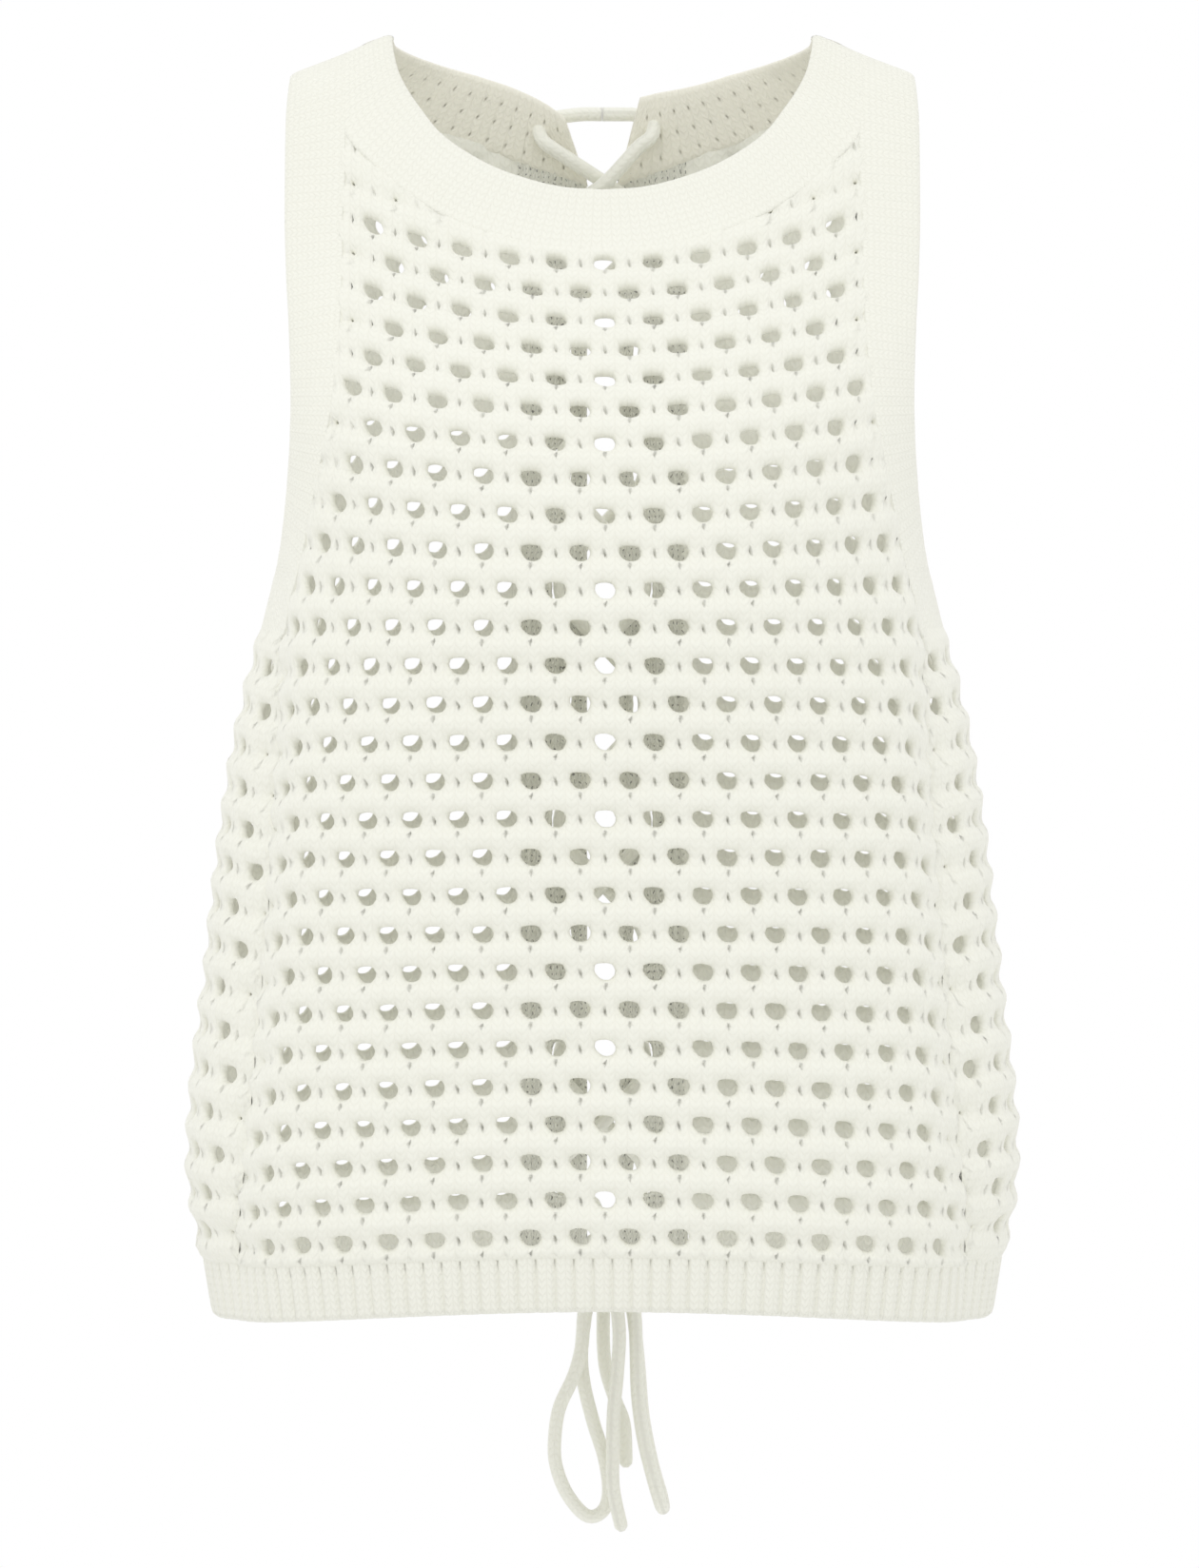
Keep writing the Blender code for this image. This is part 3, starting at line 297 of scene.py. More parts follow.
# ---- cloth laid in place
class Cloth:
    """Rows of places on the garment, measured along the cloth."""

    def __init__(self, rows, lines, starts=0.0, fixed=None):
        self.rows = np.asarray(rows, float)
        self.turns, self.drops = (np.array(values) for values in zip(*lines))
        made = []
        for row, (turns, drops) in zip(self.rows, lines):
            place = surface(turns, drops)
            out = outward(turns, drops)
            run = lengths(place)
            if fixed is not None:
                place, out = fixed(place, out, turns, drops, row)
            made.append((place, out, run))
        self.places, self.outs, self.runs = (np.array(values) for values in zip(*made))
        self.runs = self.runs + np.reshape(starts, (-1, 1))

    def spot(self, row):
        """Row index and the share to the next one."""
        step = self.rows[1] - self.rows[0]
        f = np.clip((row - self.rows[0]) / step, 0.0, len(self.rows) - 1.001)
        i = f.astype(int)
        return i, f - i

    def ends(self, row):
        """First and last length along the cloth on a row."""
        i, t = self.spot(row)
        return tuple(self.runs[i, k] * (1 - t) + self.runs[i + 1, k] * t for k in (0, -1))

    def lay(self, along, row, depth):
        """Points in place for lengths along the cloth, rows and depths."""
        i, t = self.spot(row)
        last = self.places.shape[1] - 1
        point = 0.0
        out = 0.0
        for k, weight in ((i, 1 - t), (i + 1, t)):
            start = self.runs[k, 0]
            g = np.clip((along - start) / (self.runs[k, -1] - start), 0.0, 1.0) * last
            j = np.minimum(g.astype(int), last - 1)
            u = (g - j)[:, None]
            share = weight[:, None]
            point = point + share * (self.places[k, j] * (1 - u) + self.places[k, j + 1] * u)
            out = out + share * (self.outs[k, j] * (1 - u) + self.outs[k, j + 1] * u)
        return point + unit(out) * np.asarray(depth)[:, None]


def even_turns(row, start, end, count):
    """Turns at even lengths along a row."""
    turns = np.linspace(start, end, 121)
    run = lengths(surface(turns, row_drops(row, turns)))
    return np.interp(np.linspace(0.0, run[-1], count), run, turns)


def row_length(row, start, end):
    """Length of a row between two turns."""
    turns = np.linspace(start, end, 81)
    points = surface(turns, row_drops(row, turns))
    return float(np.linalg.norm(np.diff(points, axis=0), axis=1).sum())


def side_line():
    """Turns and drops down the side seam."""
    drops = np.linspace(231.0, 545.0, 33)
    return side_seam(drops, "turn"), drops


TUCK = 3.0
TUCK_TURN = 1.1
TUCK_ROWS = 0.2
SEAM_TUCK_TURN = 0.35
UNDERARM_DROPS = (233.0, 248.0)
ROW_STEP = 0.25
ROW_POINTS = 73
BACK_START_TURN = 165.0
FRONT_STATIONS = slice(0, 13)
BACK_STATIONS = slice(16, None)
FRONT_FADES = (2.4, 2.4, 4.0, 4.0)
BACK_FADES = (4.0, 2.4, 4.0, 4.0)
THIN_HIDDEN = 0.1
THIN_SEAM = 0.35
PLAIN_FACE = -1.45
PLAIN_START = 1.0
PLAIN_FADE = 11.0
BAND_OVERLAP = 1.05
BAND_ROWS = 13
AT_RIDGE = 0.02
RIDGE_GAP = 0.15


def top_line(cloth, band, first):
    """Lengths and rows where a cloth meets a neckband seam from a station on."""
    order = np.argsort(band["seam_turn"][first:])
    turns = band["seam_turn"][first:][order]
    drops = band["seam_drop"][first:][order]
    along = []
    rows = []
    for j in range(cloth.places.shape[1]):
        seam = smooth(np.clip(np.abs(cloth.turns[:, j]), turns[0], turns[-1]), turns, drops)
        over = cloth.drops[:, j] - seam + TUCK
        k = max(int(np.argmax(over > 0.0)), 1)
        t = np.clip(over[k - 1] / (over[k - 1] - over[k]), 0.0, 1.0)
        rows.append(cloth.rows[k - 1] * (1 - t) + cloth.rows[k] * t)
        along.append(cloth.runs[k - 1, j] * (1 - t) + cloth.runs[k, j] * t)
    order = np.argsort(along)
    return np.array(along)[order], np.array(rows)[order]


class Panel:
    """Openwork cloth with its edges, in the garment's shape."""

    def __init__(self, cloth, high, corner, top, fades):
        self.cloth = cloth
        self.high = high
        self.corner = corner
        self.top = top
        self.fades = fades
        self.sides = (1, 0) if high is None else (1,)
        self.last = PANEL_END_ROW + TUCK_ROWS

    def inset(self, along, row):
        """Clamped lengths and rows with the distance to each edge."""
        top = np.interp(along, *self.top)
        if self.high is not None:
            top = np.where(along > self.corner, UNDERARM_ROW - TUCK_ROWS, top)
        above = (row - top) * ROW_PITCH
        row = np.maximum(row, top)
        below = (self.last - row) * ROW_PITCH
        row = np.minimum(row, self.last)
        start, end = self.cloth.ends(row)
        if self.high is not None:
            low = (row >= UNDERARM_ROW) | (along > self.corner)
            high_start, high_end = self.high.ends(row)
            start = np.where(low, start, high_start)
            end = np.where(low, end, high_end)
        edges = np.stack([along - start, end - along, above, below])
        return np.clip(along, start, end), row, edges

    def lay(self, along, row, depth):
        """Points in place, with the cloth thinned towards its edges."""
        beside = along
        along, row, edges = self.inset(along, row)
        near = np.sin(np.clip(edges / np.array(self.fades)[:, None], 0.0, 1.0) * math.pi / 2)
        open_side = row > UNDERARM_ROW + 0.2
        floor = np.full(edges.shape, THIN_HIDDEN)
        banded = edges[2]
        for k in self.sides:
            floor[k, open_side] = THIN_SEAM
            banded = np.where(open_side, banded, np.minimum(banded, edges[k]))
        thin = np.min(floor + (1 - floor) * near, axis=0)
        plain = np.clip((banded - PLAIN_START) / PLAIN_FADE, 0.0, 1.0)
        plain = plain * plain * (3 - 2 * plain)
        depth = np.where(depth > PANEL_MIDDLE, PLAIN_FACE + (depth - PLAIN_FACE) * plain, depth)
        depth = PANEL_MIDDLE + (depth - PANEL_MIDDLE) * thin
        points = self.cloth.lay(along, row, depth)
        if self.high is not None:
            high = (row < UNDERARM_ROW) & (beside <= self.corner)
            points[high] = self.high.lay(along[high], row[high], depth[high])
        return points, np.min(edges, axis=0) < -1e-6


def front_cloth():
    """The front panel, from its left edge to its right."""
    arm_turns, arm_drops = (ARMHOLE[n][FRONT_STATIONS] for n in ("seam_turn", "seam_drop"))
    tuck = TUCK_TURN * np.clip((UNDERARM_DROPS[0] - arm_drops) / 20.0, 0.0, 1.0)
    side_turns, side_drops = side_line()
    under = side_drops > UNDERARM_DROPS[1]
    line = (np.concatenate([arm_turns + tuck, side_turns[under] + SEAM_TUCK_TURN]),
            np.concatenate([arm_drops, side_drops[under]]))
    rows = np.arange(TOP_ROW, PANEL_END_ROW + 0.5, ROW_STEP)
    lines = []
    starts = []
    for row in rows:
        edge = row_crossing(row, *line)
        turns = even_turns(row, -edge, edge, ROW_POINTS)
        lines.append((turns, row_drops(row, turns)))
        starts.append(-row_length(row, 0.0, edge))
    cloth = Cloth(rows, lines, starts)
    return Panel(cloth, None, 0.0, top_line(cloth, NECK_FRONT, 4), FRONT_FADES)


def back_part(rows, edge):
    """Rows of a back panel, measured out from the centre back to an edge line."""
    lines = []
    starts = []
    for row in rows:
        turn = BACK_START_TURN
        for _ in range(4):
            drop = float(row_drops(row, np.array([turn]))[0])
            turn = float(turn_at(PLACKET_SEAM_X - TUCK, drop))
        turns = even_turns(row, turn, row_crossing(row, *edge), ROW_POINTS)
        lines.append((turns, row_drops(row, turns)))
        starts.append(row_length(row, turn, 180.0))
    return Cloth(rows, lines, starts)


def back_cloth():
    """A back panel: the part below the underarm and the part above it."""
    side_turns, side_drops = side_line()
    arm_turns, arm_drops = (ARMHOLE[n][BACK_STATIONS] for n in ("seam_turn", "seam_drop"))
    low_rows = np.arange(UNDERARM_ROW - 0.25, PANEL_END_ROW + 0.5, ROW_STEP)
    high_rows = np.arange(TOP_ROW, UNDERARM_ROW + 0.3, ROW_STEP)
    low = back_part(low_rows, (side_turns - SEAM_TUCK_TURN, side_drops))
    high = back_part(high_rows, ((arm_turns - TUCK_TURN)[::-1], arm_drops[::-1]))
    corner = float(high.ends(np.array([UNDERARM_ROW]))[1][0])
    return Panel(low, high, corner, top_line(high, NECK_BACK, 3), BACK_FADES)


def last_station(band):
    """Number of a band's last station."""
    return len(band["seam_turn"]) - 1.0


def station_cloth(band, at, sign=1.0, sag=0.0):
    """Band from its open edge (row 0) to its seam (row 1) and a little under the panel."""
    where = np.arange(len(band["seam_turn"]), dtype=float)
    read = [smooth(np.abs(at), where, values) for values in band.values()]
    rows = np.linspace(0.0, BAND_OVERLAP, BAND_ROWS)

    def ridge_under(turns, drops):
        return ridge_drop(surface(turns, np.maximum(drops, 20.0))[..., 0])

    def at_ridge(place, out, turns, drops, row):
        ridge = np.abs(drops - ridge_under(turns, drops)) < AT_RIDGE
        side = np.where(np.abs(turns) > 90.0, RIDGE_GAP, -RIDGE_GAP)
        place[ridge, 1] = SIDE_LINE_Y + side[ridge]
        ones = np.ones(int(ridge.sum()))
        out[ridge] = RIDGE_NORMAL * np.stack([np.sign(turns[ridge]), ones, ones], -1)
        share = np.clip((np.abs(turns) - BACK_START_TURN) / 9.8, 0.0, 1.0) ** 2
        place[:, 2] -= sag * share * (1 - row)
        return place, out

    lines = []
    for row in rows:
        turns = (read[0] + (read[2] - read[0]) * row) * sign
        drops = read[1] + (read[3] - read[1]) * row
        lines.append((turns, np.maximum(drops, ridge_under(turns, drops) + 0.003)))
    cloth = Cloth(rows, lines, fixed=at_ridge)
    middle = cloth.runs[len(rows) // 2].copy()
    even = np.linspace(0.0, middle[-1], len(middle))
    for values in (cloth.places, cloth.outs):
        for i in range(len(rows)):
            for k in range(3):
                values[i, :, k] = np.interp(even, middle, values[i, :, k])
    cloth.runs[:] = even
    return cloth


# ---- node trees
class Socket:
    """Output of a node that reads like a number in an expression."""

    def __init__(self, graph, socket):
        self.graph = graph
        self.socket = socket

    def with_(self, operation, other=None):
        values = {0: self} if other is None else {0: self, 1: other}
        return self.graph.add("ShaderNodeMath", {"operation": operation}, values)

    def __add__(self, other):
        return self.with_("ADD", other)

    def __sub__(self, other):
        return self.with_("SUBTRACT", other)

    def __rsub__(self, other):
        return self.graph.add("ShaderNodeMath", {"operation": "SUBTRACT"}, {0: other, 1: self})

    def __mul__(self, other):
        return self.with_("MULTIPLY", other)

    def __truediv__(self, other):
        return self.with_("DIVIDE", other)

    def __pow__(self, other):
        return self.with_("POWER", other)

    __radd__ = __add__
    __rmul__ = __mul__

    def sine(self):
        return self.with_("SINE")

    def size(self):
        return self.with_("ABSOLUTE")

    def part(self):
        return self.with_("FRACT")

    def clamped(self):
        return self.graph.add("ShaderNodeMath", {"operation": "ADD", "use_clamp": True},
                              {0: self, 1: 0.0})


class Graph:
    """Adds nodes to a tree by type, settings and socket values."""

    def __init__(self, tree):
        self.tree = tree

    def node(self, kind, settings=None, values=None):
        node = self.tree.nodes.new(kind)
        for name, value in (settings or {}).items():
            setattr(node, name, value)
        for name, value in (values or {}).items():
            target = node.inputs[name]
            if isinstance(value, Socket):
                self.tree.links.new(value.socket, target)
            else:
                target.default_value = value
        return node

    def add(self, kind, settings=None, values=None, output=0):
        return Socket(self, self.node(kind, settings, values).outputs[output])


# ---- knitted finish
UV_SCALE = 100.0
# Darker tint for the painted shade between the stitches and for random uneven yarn tone.
SHADE_AND_MOTTLE = (0.93, 0.92, 0.885)


def knit_material(name, colour, stitch, strength, gap_shade=0.0):
    """Matt cotton knit with stitches drawn on the cloth's own UV map, and shade painted between
    them.
    """
    made = bpy.data.materials.new(name)
    made.use_nodes = True
    made.node_tree.nodes.clear()
    graph = Graph(made.node_tree)
    place = graph.add("ShaderNodeUVMap", {"uv_map": "cloth"})
    where = graph.add("ShaderNodeTexCoord", None, None, "Object")

    def noise(scale, detail, roughness=0.5):
        return graph.add("ShaderNodeTexNoise", {"noise_dimensions": "3D"},
                         {"Vector": where, "Scale": scale, "Detail": detail,
                          "Roughness": roughness})

    def mixed(amount, first, second):
        return graph.add("ShaderNodeMix", {"data_type": "RGBA"},
                         {"Factor": amount, 6: first, 7: second}, 2)

    split = graph.node("ShaderNodeSeparateXYZ", None, {0: place})
    across, down = (Socket(graph, split.outputs[k]) * (UV_SCALE / stitch[k]) for k in (0, 1))
    leg = (across.part() - 0.5).size()
    strand = ((down + leg * 1.3) * math.pi).sine().size()
    wale = 1.0 - (leg * 2.0) ** 6.0
    middle = 1.0 - (1.0 - leg * 2.0) ** 10.0
    relief = (strand ** 0.6) * wale * (0.6 + 0.4 * middle)
    fuzz = noise(900.0, 3.0, 0.7)
    cloud = noise(38.0, 4.0, 0.6)
    height = relief + fuzz * 0.45 + cloud * 0.25
    bump = graph.add("ShaderNodeBump", None,
                     {"Strength": strength, "Distance": 0.0006, "Height": height})
    light = tuple(colour) + (1.0,)
    # Painted shade: the colour darkens towards the darker tint where the stitch relief is low,
    # between the strands; the fuzz and cloud noise also darken it at random, as uneven yarn tone.
    shade_and_mottle = tuple(c * s for c, s in zip(colour, SHADE_AND_MOTTLE)) + (1.0,)
    amount = (0.30 * (1.0 - relief) + 0.30 * (1.0 - fuzz) + 0.35 * (1.0 - cloud)) * 0.7
    tone = mixed(amount, light, shade_and_mottle)
    # Painted shade: the gaps between the purl stitches are darkened to a tenth of the yarn colour,
    # for the shade that falls into them.
    if gap_shade > 0.0:
        gap_shade_colour = tuple(c * 0.10 for c in colour) + (1.0,)
        beside = (across + noise(260.0, 1.0) * 1.6).part() - 0.5
        above = (down + cloud * 5.0).part() - 0.5
        apart = (beside * beside * 1.9 + above * above * 0.5) ** 0.5
        gap_shade_mask = ((1.05 - apart * (1.5 + 11.0 * fuzz)) * 3.0).clamped() * gap_shade
        tone = mixed(gap_shade_mask, tone, gap_shade_colour)
    shader = graph.node("ShaderNodeBsdfPrincipled", None,
                        {"Base Color": tone, "Roughness": 0.80 + 0.15 * fuzz, "Normal": bump,
                         "Sheen Weight": 0.25, "Sheen Roughness": 0.5,
                         "Specular IOR Level": 0.25})
    graph.node("ShaderNodeOutputMaterial", None, {"Surface": Socket(graph, shader.outputs[0])})
    return made


def reshape(mesh, change):
    """Change a mesh by a function that edits its bmesh."""
    shaped = bmesh.new()
    shaped.from_mesh(mesh)
    change(shaped)
    shaped.to_mesh(mesh)
    shaped.free()


def metres(points):
    """Points in metres as plain tuples."""
    return [tuple(float(v) * MM for v in p) for p in points]


def finish(name, mesh, flat, material, replaces=True):
    """Turn a placed mesh into a finished piece, named after the solid it replaces."""
    layer = mesh.uv_layers.new(name="cloth")
    corners = np.zeros(len(mesh.loops), int)
    mesh.loops.foreach_get("vertex_index", corners)
    layer.data.foreach_set("uv", (flat[corners, :2] / UV_SCALE).astype(np.float32).ravel())

    def clean(shaped):
        bmesh.ops.remove_doubles(shaped, verts=shaped.verts, dist=0.00002)
        bmesh.ops.dissolve_degenerate(shaped, edges=shaped.edges, dist=0.000005)
        loose = [v for v in shaped.verts if not v.link_faces]
        bmesh.ops.delete(shaped, geom=loose, context="VERTS")
        for face in shaped.faces:
            face.smooth = True
    reshape(mesh, clean)
    mesh.materials.clear()
    mesh.materials.append(material)
    piece = bpy.data.objects.new(name, mesh)
    bpy.context.scene.collection.objects.link(piece)
    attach(piece, "root")
    if replaces:
        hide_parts(name.rsplit("_", 1)[0])
    return piece


def repeat(name, spots, picks, cells, jitter, seed):
    """Repeat flat cells on flat spots, remove the cells and return one plain mesh."""
    carrier = bpy.data.meshes.new(name)
    carrier.from_pydata([(x, y, 0.0) for x, y in spots], [], [])
    kind = carrier.attributes.new("kind", "INT", "POINT")
    kind.data.foreach_set("value", np.asarray(picks, np.int32))
    holder = bpy.data.objects.new(name, carrier)
    bpy.context.scene.collection.objects.link(holder)
    tree = bpy.data.node_groups.new("Repeat cells", "GeometryNodeTree")
    face = tree.interface
    for title, form in (("Spots", "Geometry"), ("Open cell", "Object"), ("Closed cell", "Object"),
                        ("Unevenness", "Float"), ("Seed", "Float")):
        face.new_socket(title, in_out="INPUT", socket_type="NodeSocket" + form)
    face.new_socket("Cloth", in_out="OUTPUT", socket_type="NodeSocketGeometry")
    graph = Graph(tree)
    entry = tree.nodes.new("NodeGroupInput")
    take = {s.name: Socket(graph, s) for s in entry.outputs if s.name}
    kind = graph.add("GeometryNodeInputNamedAttribute", {"data_type": "INT"}, {"Name": "kind"})
    joined = graph.node("GeometryNodeJoinGeometry")
    for number, title in ((1, "Open cell"), (0, "Closed cell")):
        cell = graph.add("GeometryNodeObjectInfo", {"transform_space": "ORIGINAL"},
                         {"Object": take[title]}, "Geometry")
        chosen = graph.add("FunctionNodeCompare", {"data_type": "INT", "operation": "EQUAL"},
                           {2: kind, 3: number})
        grown = graph.add("GeometryNodeInstanceOnPoints", None,
                          {"Points": take["Spots"], "Selection": chosen, "Instance": cell})
        tree.links.new(grown.socket, joined.inputs[0])
    real = graph.add("GeometryNodeRealizeInstances", None,
                     {"Geometry": Socket(graph, joined.outputs[0])})
    merged = graph.add("GeometryNodeMergeByDistance", None, {"Geometry": real, "Distance": 0.02})
    place = graph.add("GeometryNodeInputPosition")
    noise = graph.add("ShaderNodeTexNoise", {"noise_dimensions": "4D"},
                      {"Vector": place, "W": take["Seed"], "Scale": 0.11, "Detail": 2.0}, "Color")
    centred = graph.add("ShaderNodeVectorMath", {"operation": "SUBTRACT"},
                        {0: noise, 1: (0.5, 0.5, 0.5)})
    scaled = graph.add("ShaderNodeVectorMath", {"operation": "SCALE"},
                       {0: centred, "Scale": take["Unevenness"]})
    moved = graph.add("GeometryNodeSetPosition", None, {"Geometry": merged, "Offset": scaled})
    graph.node("NodeGroupOutput", None, {0: moved})
    grow = holder.modifiers.new("cells", "NODES")
    grow.node_group = tree
    ids = {s.name: s.identifier for s in face.items_tree if s.in_out == "INPUT"}
    for title, value in (("Open cell", cells[-1]), ("Closed cell", cells[0]),
                         ("Unevenness", float(jitter)), ("Seed", float(seed))):
        grow[ids[title]] = value
    bpy.context.view_layer.update()
    holder.update_tag()
    graph_now = bpy.context.evaluated_depsgraph_get()
    mesh = bpy.data.meshes.new_from_object(holder.evaluated_get(graph_now))
    mesh.name = name
    for thing in (holder, *cells):
        bpy.data.objects.remove(thing, do_unlink=True)
    bpy.data.node_groups.remove(tree)
    return mesh


def flat_points(mesh):
    """Vertices of a mesh as an array."""
    values = np.zeros(len(mesh.vertices) * 3, np.float32)
    mesh.vertices.foreach_get("co", values)
    return values.reshape(-1, 3).astype(float)


def put_in_place(mesh, points, outside, mirror):
    """Move a flat mesh to its place, on either side, and drop the faces beyond its edges."""
    if mirror:
        points = points * np.array([-1.0, 1.0, 1.0])
    mesh.vertices.foreach_set("co", (points * MM).astype(np.float32).ravel())

    def trim(shaped):
        shaped.verts.ensure_lookup_table()
        gone = [f for f in shaped.faces if all(outside[v.index] for v in f.verts)]
        bmesh.ops.delete(shaped, geom=gone, context="FACES_ONLY")
        if mirror:
            bmesh.ops.reverse_faces(shaped, faces=shaped.faces)
    reshape(mesh, trim)
    mesh.update()


def temporary(name, points, faces):
    """A flat cell object that lasts until the cloth is made."""
    mesh = bpy.data.meshes.new(name)
    mesh.from_pydata(points, [], faces)
    thing = bpy.data.objects.new(name, mesh)
    bpy.context.scene.collection.objects.link(thing)
    return thing


def strip(first, second, count, closed=True):
    """Faces between two rows of points that start at two indices."""
    return [(first + k, first + (k + 1) % count, second + (k + 1) % count, second + k)
            for k in range(count if closed else count - 1)]


# ---- openwork panels
SIDE_MARKS = (-0.5, -0.11, 0.03, 0.17)
SLIT_REACH = 0.85
DOT_ROW = 0.385
HOLE_SLANT = 0.16
RING_GROWTH = (0.0, 0.35, 1.15, 0.0, 0.0, 0.45, 0.0)
RING_PAIRS = ((0, 1), (1, 2), (2, 3), (3, 4), (5, 0), (6, 5))
CLOSED_HOLE = (0.7, 0.6)
CLOSED_DEPTHS = (1.2, 1.0)
OPEN_DEPTHS = (3.0, 2.2)


def cell_rim():
    """Corners and marks round one cell, in shares of its pitch and row."""
    steps = [k / 8 - 0.5 for k in range(8)]
    rim = [(u, -0.5) for u in steps]
    rim += [(0.5, v) for v in SIDE_MARKS]
    rim += [(-u, 0.5) for u in steps]
    rim += [(-0.5, v) for v in (0.5,) + SIDE_MARKS[:0:-1]]
    return rim


def valley(u, v):
    """Depth of the ridged face over a cell, 0 on the ridges."""
    swag = 0.07 * math.cos(math.pi * v) ** 2 * (0.5 - 0.5 * math.cos(2 * math.pi * u))
    depth = RIDGE_HEIGHT * (0.5 + 0.5 * math.cos(2 * math.pi * (v - swag)))
    return -depth * (0.86 + 0.14 * math.cos(2 * math.pi * u))


def openwork_cell(name, pitch, row_pitch, hole, is_open):
    """Flat cell of the openwork: ridges, a hole, side slits and a dot."""
    rim = cell_rim()
    half_wide, half_high = (size / 2 for size in (hole if is_open else CLOSED_HOLE))
    slit, dot = OPEN_DEPTHS if is_open else CLOSED_DEPTHS
    points = []
    for ring, growth in enumerate(RING_GROWTH):
        for u, v in rim:
            x, y = u * pitch, v * row_pitch
            length = math.hypot(x, y)
            c, s = x / length, y / length
            reach = ((abs(c) / half_wide) ** 2.5 + (abs(s) / half_high) ** 2.5) ** (-0.4)
            lean = 1.0 - 0.20 * (reach * s / half_high if is_open else 0.0)
            grown = reach + growth
            spot = (grown * c * lean + HOLE_SLANT * grown * s, grown * s)
            on_side = abs(u) == 0.5 and abs(v) < 0.3
            if ring == 3 and on_side:
                spot = (math.copysign(0.5 * pitch - SLIT_REACH, u), y)
            elif ring == 3 and v == 0.5 and abs(u) < 0.13:
                spot = (u * 0.42 * pitch, DOT_ROW * row_pitch)
            elif ring == 3:
                grown = reach + RING_GROWTH[2]
                spot = ((grown * c * lean + HOLE_SLANT * reach * s + x) / 2, (grown * s + y) / 2)
            elif ring in (4, 6):
                spot = (x, y)
            face = valley(spot[0] / pitch, spot[1] / row_pitch)
            depth = (-4.5, face - 0.75, face, face, face, PANEL_INSIDE + 0.35, PANEL_INSIDE)[ring]
            if ring == 4 and on_side and abs(v - SIDE_MARKS[2]) < 0.01:
                depth -= slit
            if ring == 3 and v == 0.5 and u == 0.0:
                depth -= dot
            points.append((spot[0], spot[1], depth))
    count = len(rim)
    faces = [face for first, second in RING_PAIRS
             for face in strip(first * count, second * count, count)]
    if not is_open:
        faces.append(tuple(range(count)))
    return temporary(name, points, faces)


def openwork(name, panel, settings, phase, pitch_scale, row_scale, mirror, seed, material):
    """Knit one openwork panel: a lattice of cells laid on the garment."""
    pitch = settings.hole_pitch / MM * pitch_scale
    row_pitch = ROW_PITCH * row_scale
    hole = (settings.hole_width / MM, settings.hole_height / MM)
    cells = [openwork_cell(title, pitch, row_pitch, hole, kind)
             for title, kind in (("cell_closed", False), ("cell_open", True))]
    front = panel.high is None
    low, high = panel.cloth.runs.min(), panel.cloth.runs.max()
    if not front:
        low = min(low, panel.high.runs.min())
    margins = np.array(settings.plain_edges) / MM
    start = margins[0] * (1.0 if front else 0.6)
    spots = []
    picks = []
    for r in range(-1, int((PANEL_END_ROW - TOP_ROW) / row_scale) + 3):
        row = phase[1] % row_scale + (r + math.floor(TOP_ROW / row_scale)) * row_scale
        number = round((row - phase[1]) / row_scale)
        shift = phase[0] + (pitch / 2 if number % 2 else 0.0)
        first = math.floor((low - shift) / pitch) - 1
        for c in range(first, int((high - shift) / pitch) + 3):
            along = shift + c * pitch
            edges = panel.inset(np.array([along]), np.array([row]))[2][:, 0]
            if edges[:2].min() < -0.8 * pitch or edges[2:].min() < -1.2 * row_pitch:
                continue
            close = 4.3 * math.exp(-(along / 60.0) ** 2) if front else 0.0
            inside = (edges[0] > start and edges[1] > margins[1]
                      and edges[2] > margins[2] - close and edges[3] > 8.0)
            spots.append((along, row * ROW_PITCH))
            picks.append(1 if inside else 0)
    mesh = repeat(name, spots, picks, cells, settings.unevenness / MM, seed)
    flat = flat_points(mesh)
    points, outside = panel.lay(flat[:, 0], flat[:, 1] / ROW_PITCH, flat[:, 2])
    put_in_place(mesh, points, outside, mirror)
    return finish(name, mesh, flat, material)


# ---- bands and hem
BAND_FACE = (
    (0.0, -3.0), (0.02, -2.2), (0.07, -1.6), (0.15, -1.3), (0.27, -1.3), (0.4, -1.3),
    (0.52, -1.3), (0.64, -1.32), (0.76, -1.35), (0.88, -1.38), (0.96, -1.4), (1.0, -1.6),
)
BAND_BACK = (
    (1.0, -3.6), (0.97, -4.7), (0.86, -4.8), (0.82, -4.8), (0.78, -4.8), (0.58, -4.8),
    (0.54, -4.8), (0.5, -4.8), (0.3, -4.8), (0.26, -4.8), (0.22, -4.8), (0.06, -4.5),
    (0.01, -3.9),
)
BAND_PITS = (0.82, 0.54, 0.26)
HEM_FACE = (
    (0.0, -3.0), (0.03, -2.3), (0.1, -1.95), (0.3, -1.9), (0.5, -1.9), (0.7, -1.9), (0.88, -1.95),
    (0.96, -2.3), (1.0, -3.2),
)
HEM_BACK = ((0.995, -4.8), (0.9, -5.7), (0.6, -5.8), (0.3, -5.8), (0.05, -5.7), (0.0, -4.4))
RIB_LINES = ((-0.5, 1.0), (-0.43, 0.75), (-0.34, 0.1), (-0.17, 0.0), (0.0, 0.0), (0.17, 0.0),
             (0.34, 0.1), (0.43, 0.75), (0.5, 1.0))

RIB_UNEVENNESS = 0.25
HEM_TUCK_ROWS = 0.06
HEM_SEAM_GAP = 0.07


def rib_cell(name, pitch, width, face, back, groove, dot, pits):
    """Flat length of one rib that wraps round the cloth from face to back."""
    loop = list(face) + list(back)
    points = []
    for j, (share, depth) in enumerate(loop):
        on_face = j < len(face)
        inner = 0.12 < share < 0.93
        for u, sunk in RIB_LINES:
            cut = groove * sunk * (1.0 if on_face else 0.5) * (1.0 if inner else 0.4)
            if dot and on_face and abs(u) == 0.5 and 0.08 < share < 0.12:
                cut += dot
            if not on_face and share in pits:
                cut = 1.7 if abs(u) == 0.5 else 0.0
            points.append((u * pitch, share * width, depth - (cut if on_face else -cut)))
    wide = len(RIB_LINES)
    faces = [face for j in range(len(loop))
             for face in strip(j * wide, (j + 1) % len(loop) * wide, wide, False)]
    return temporary(name, points, faces)


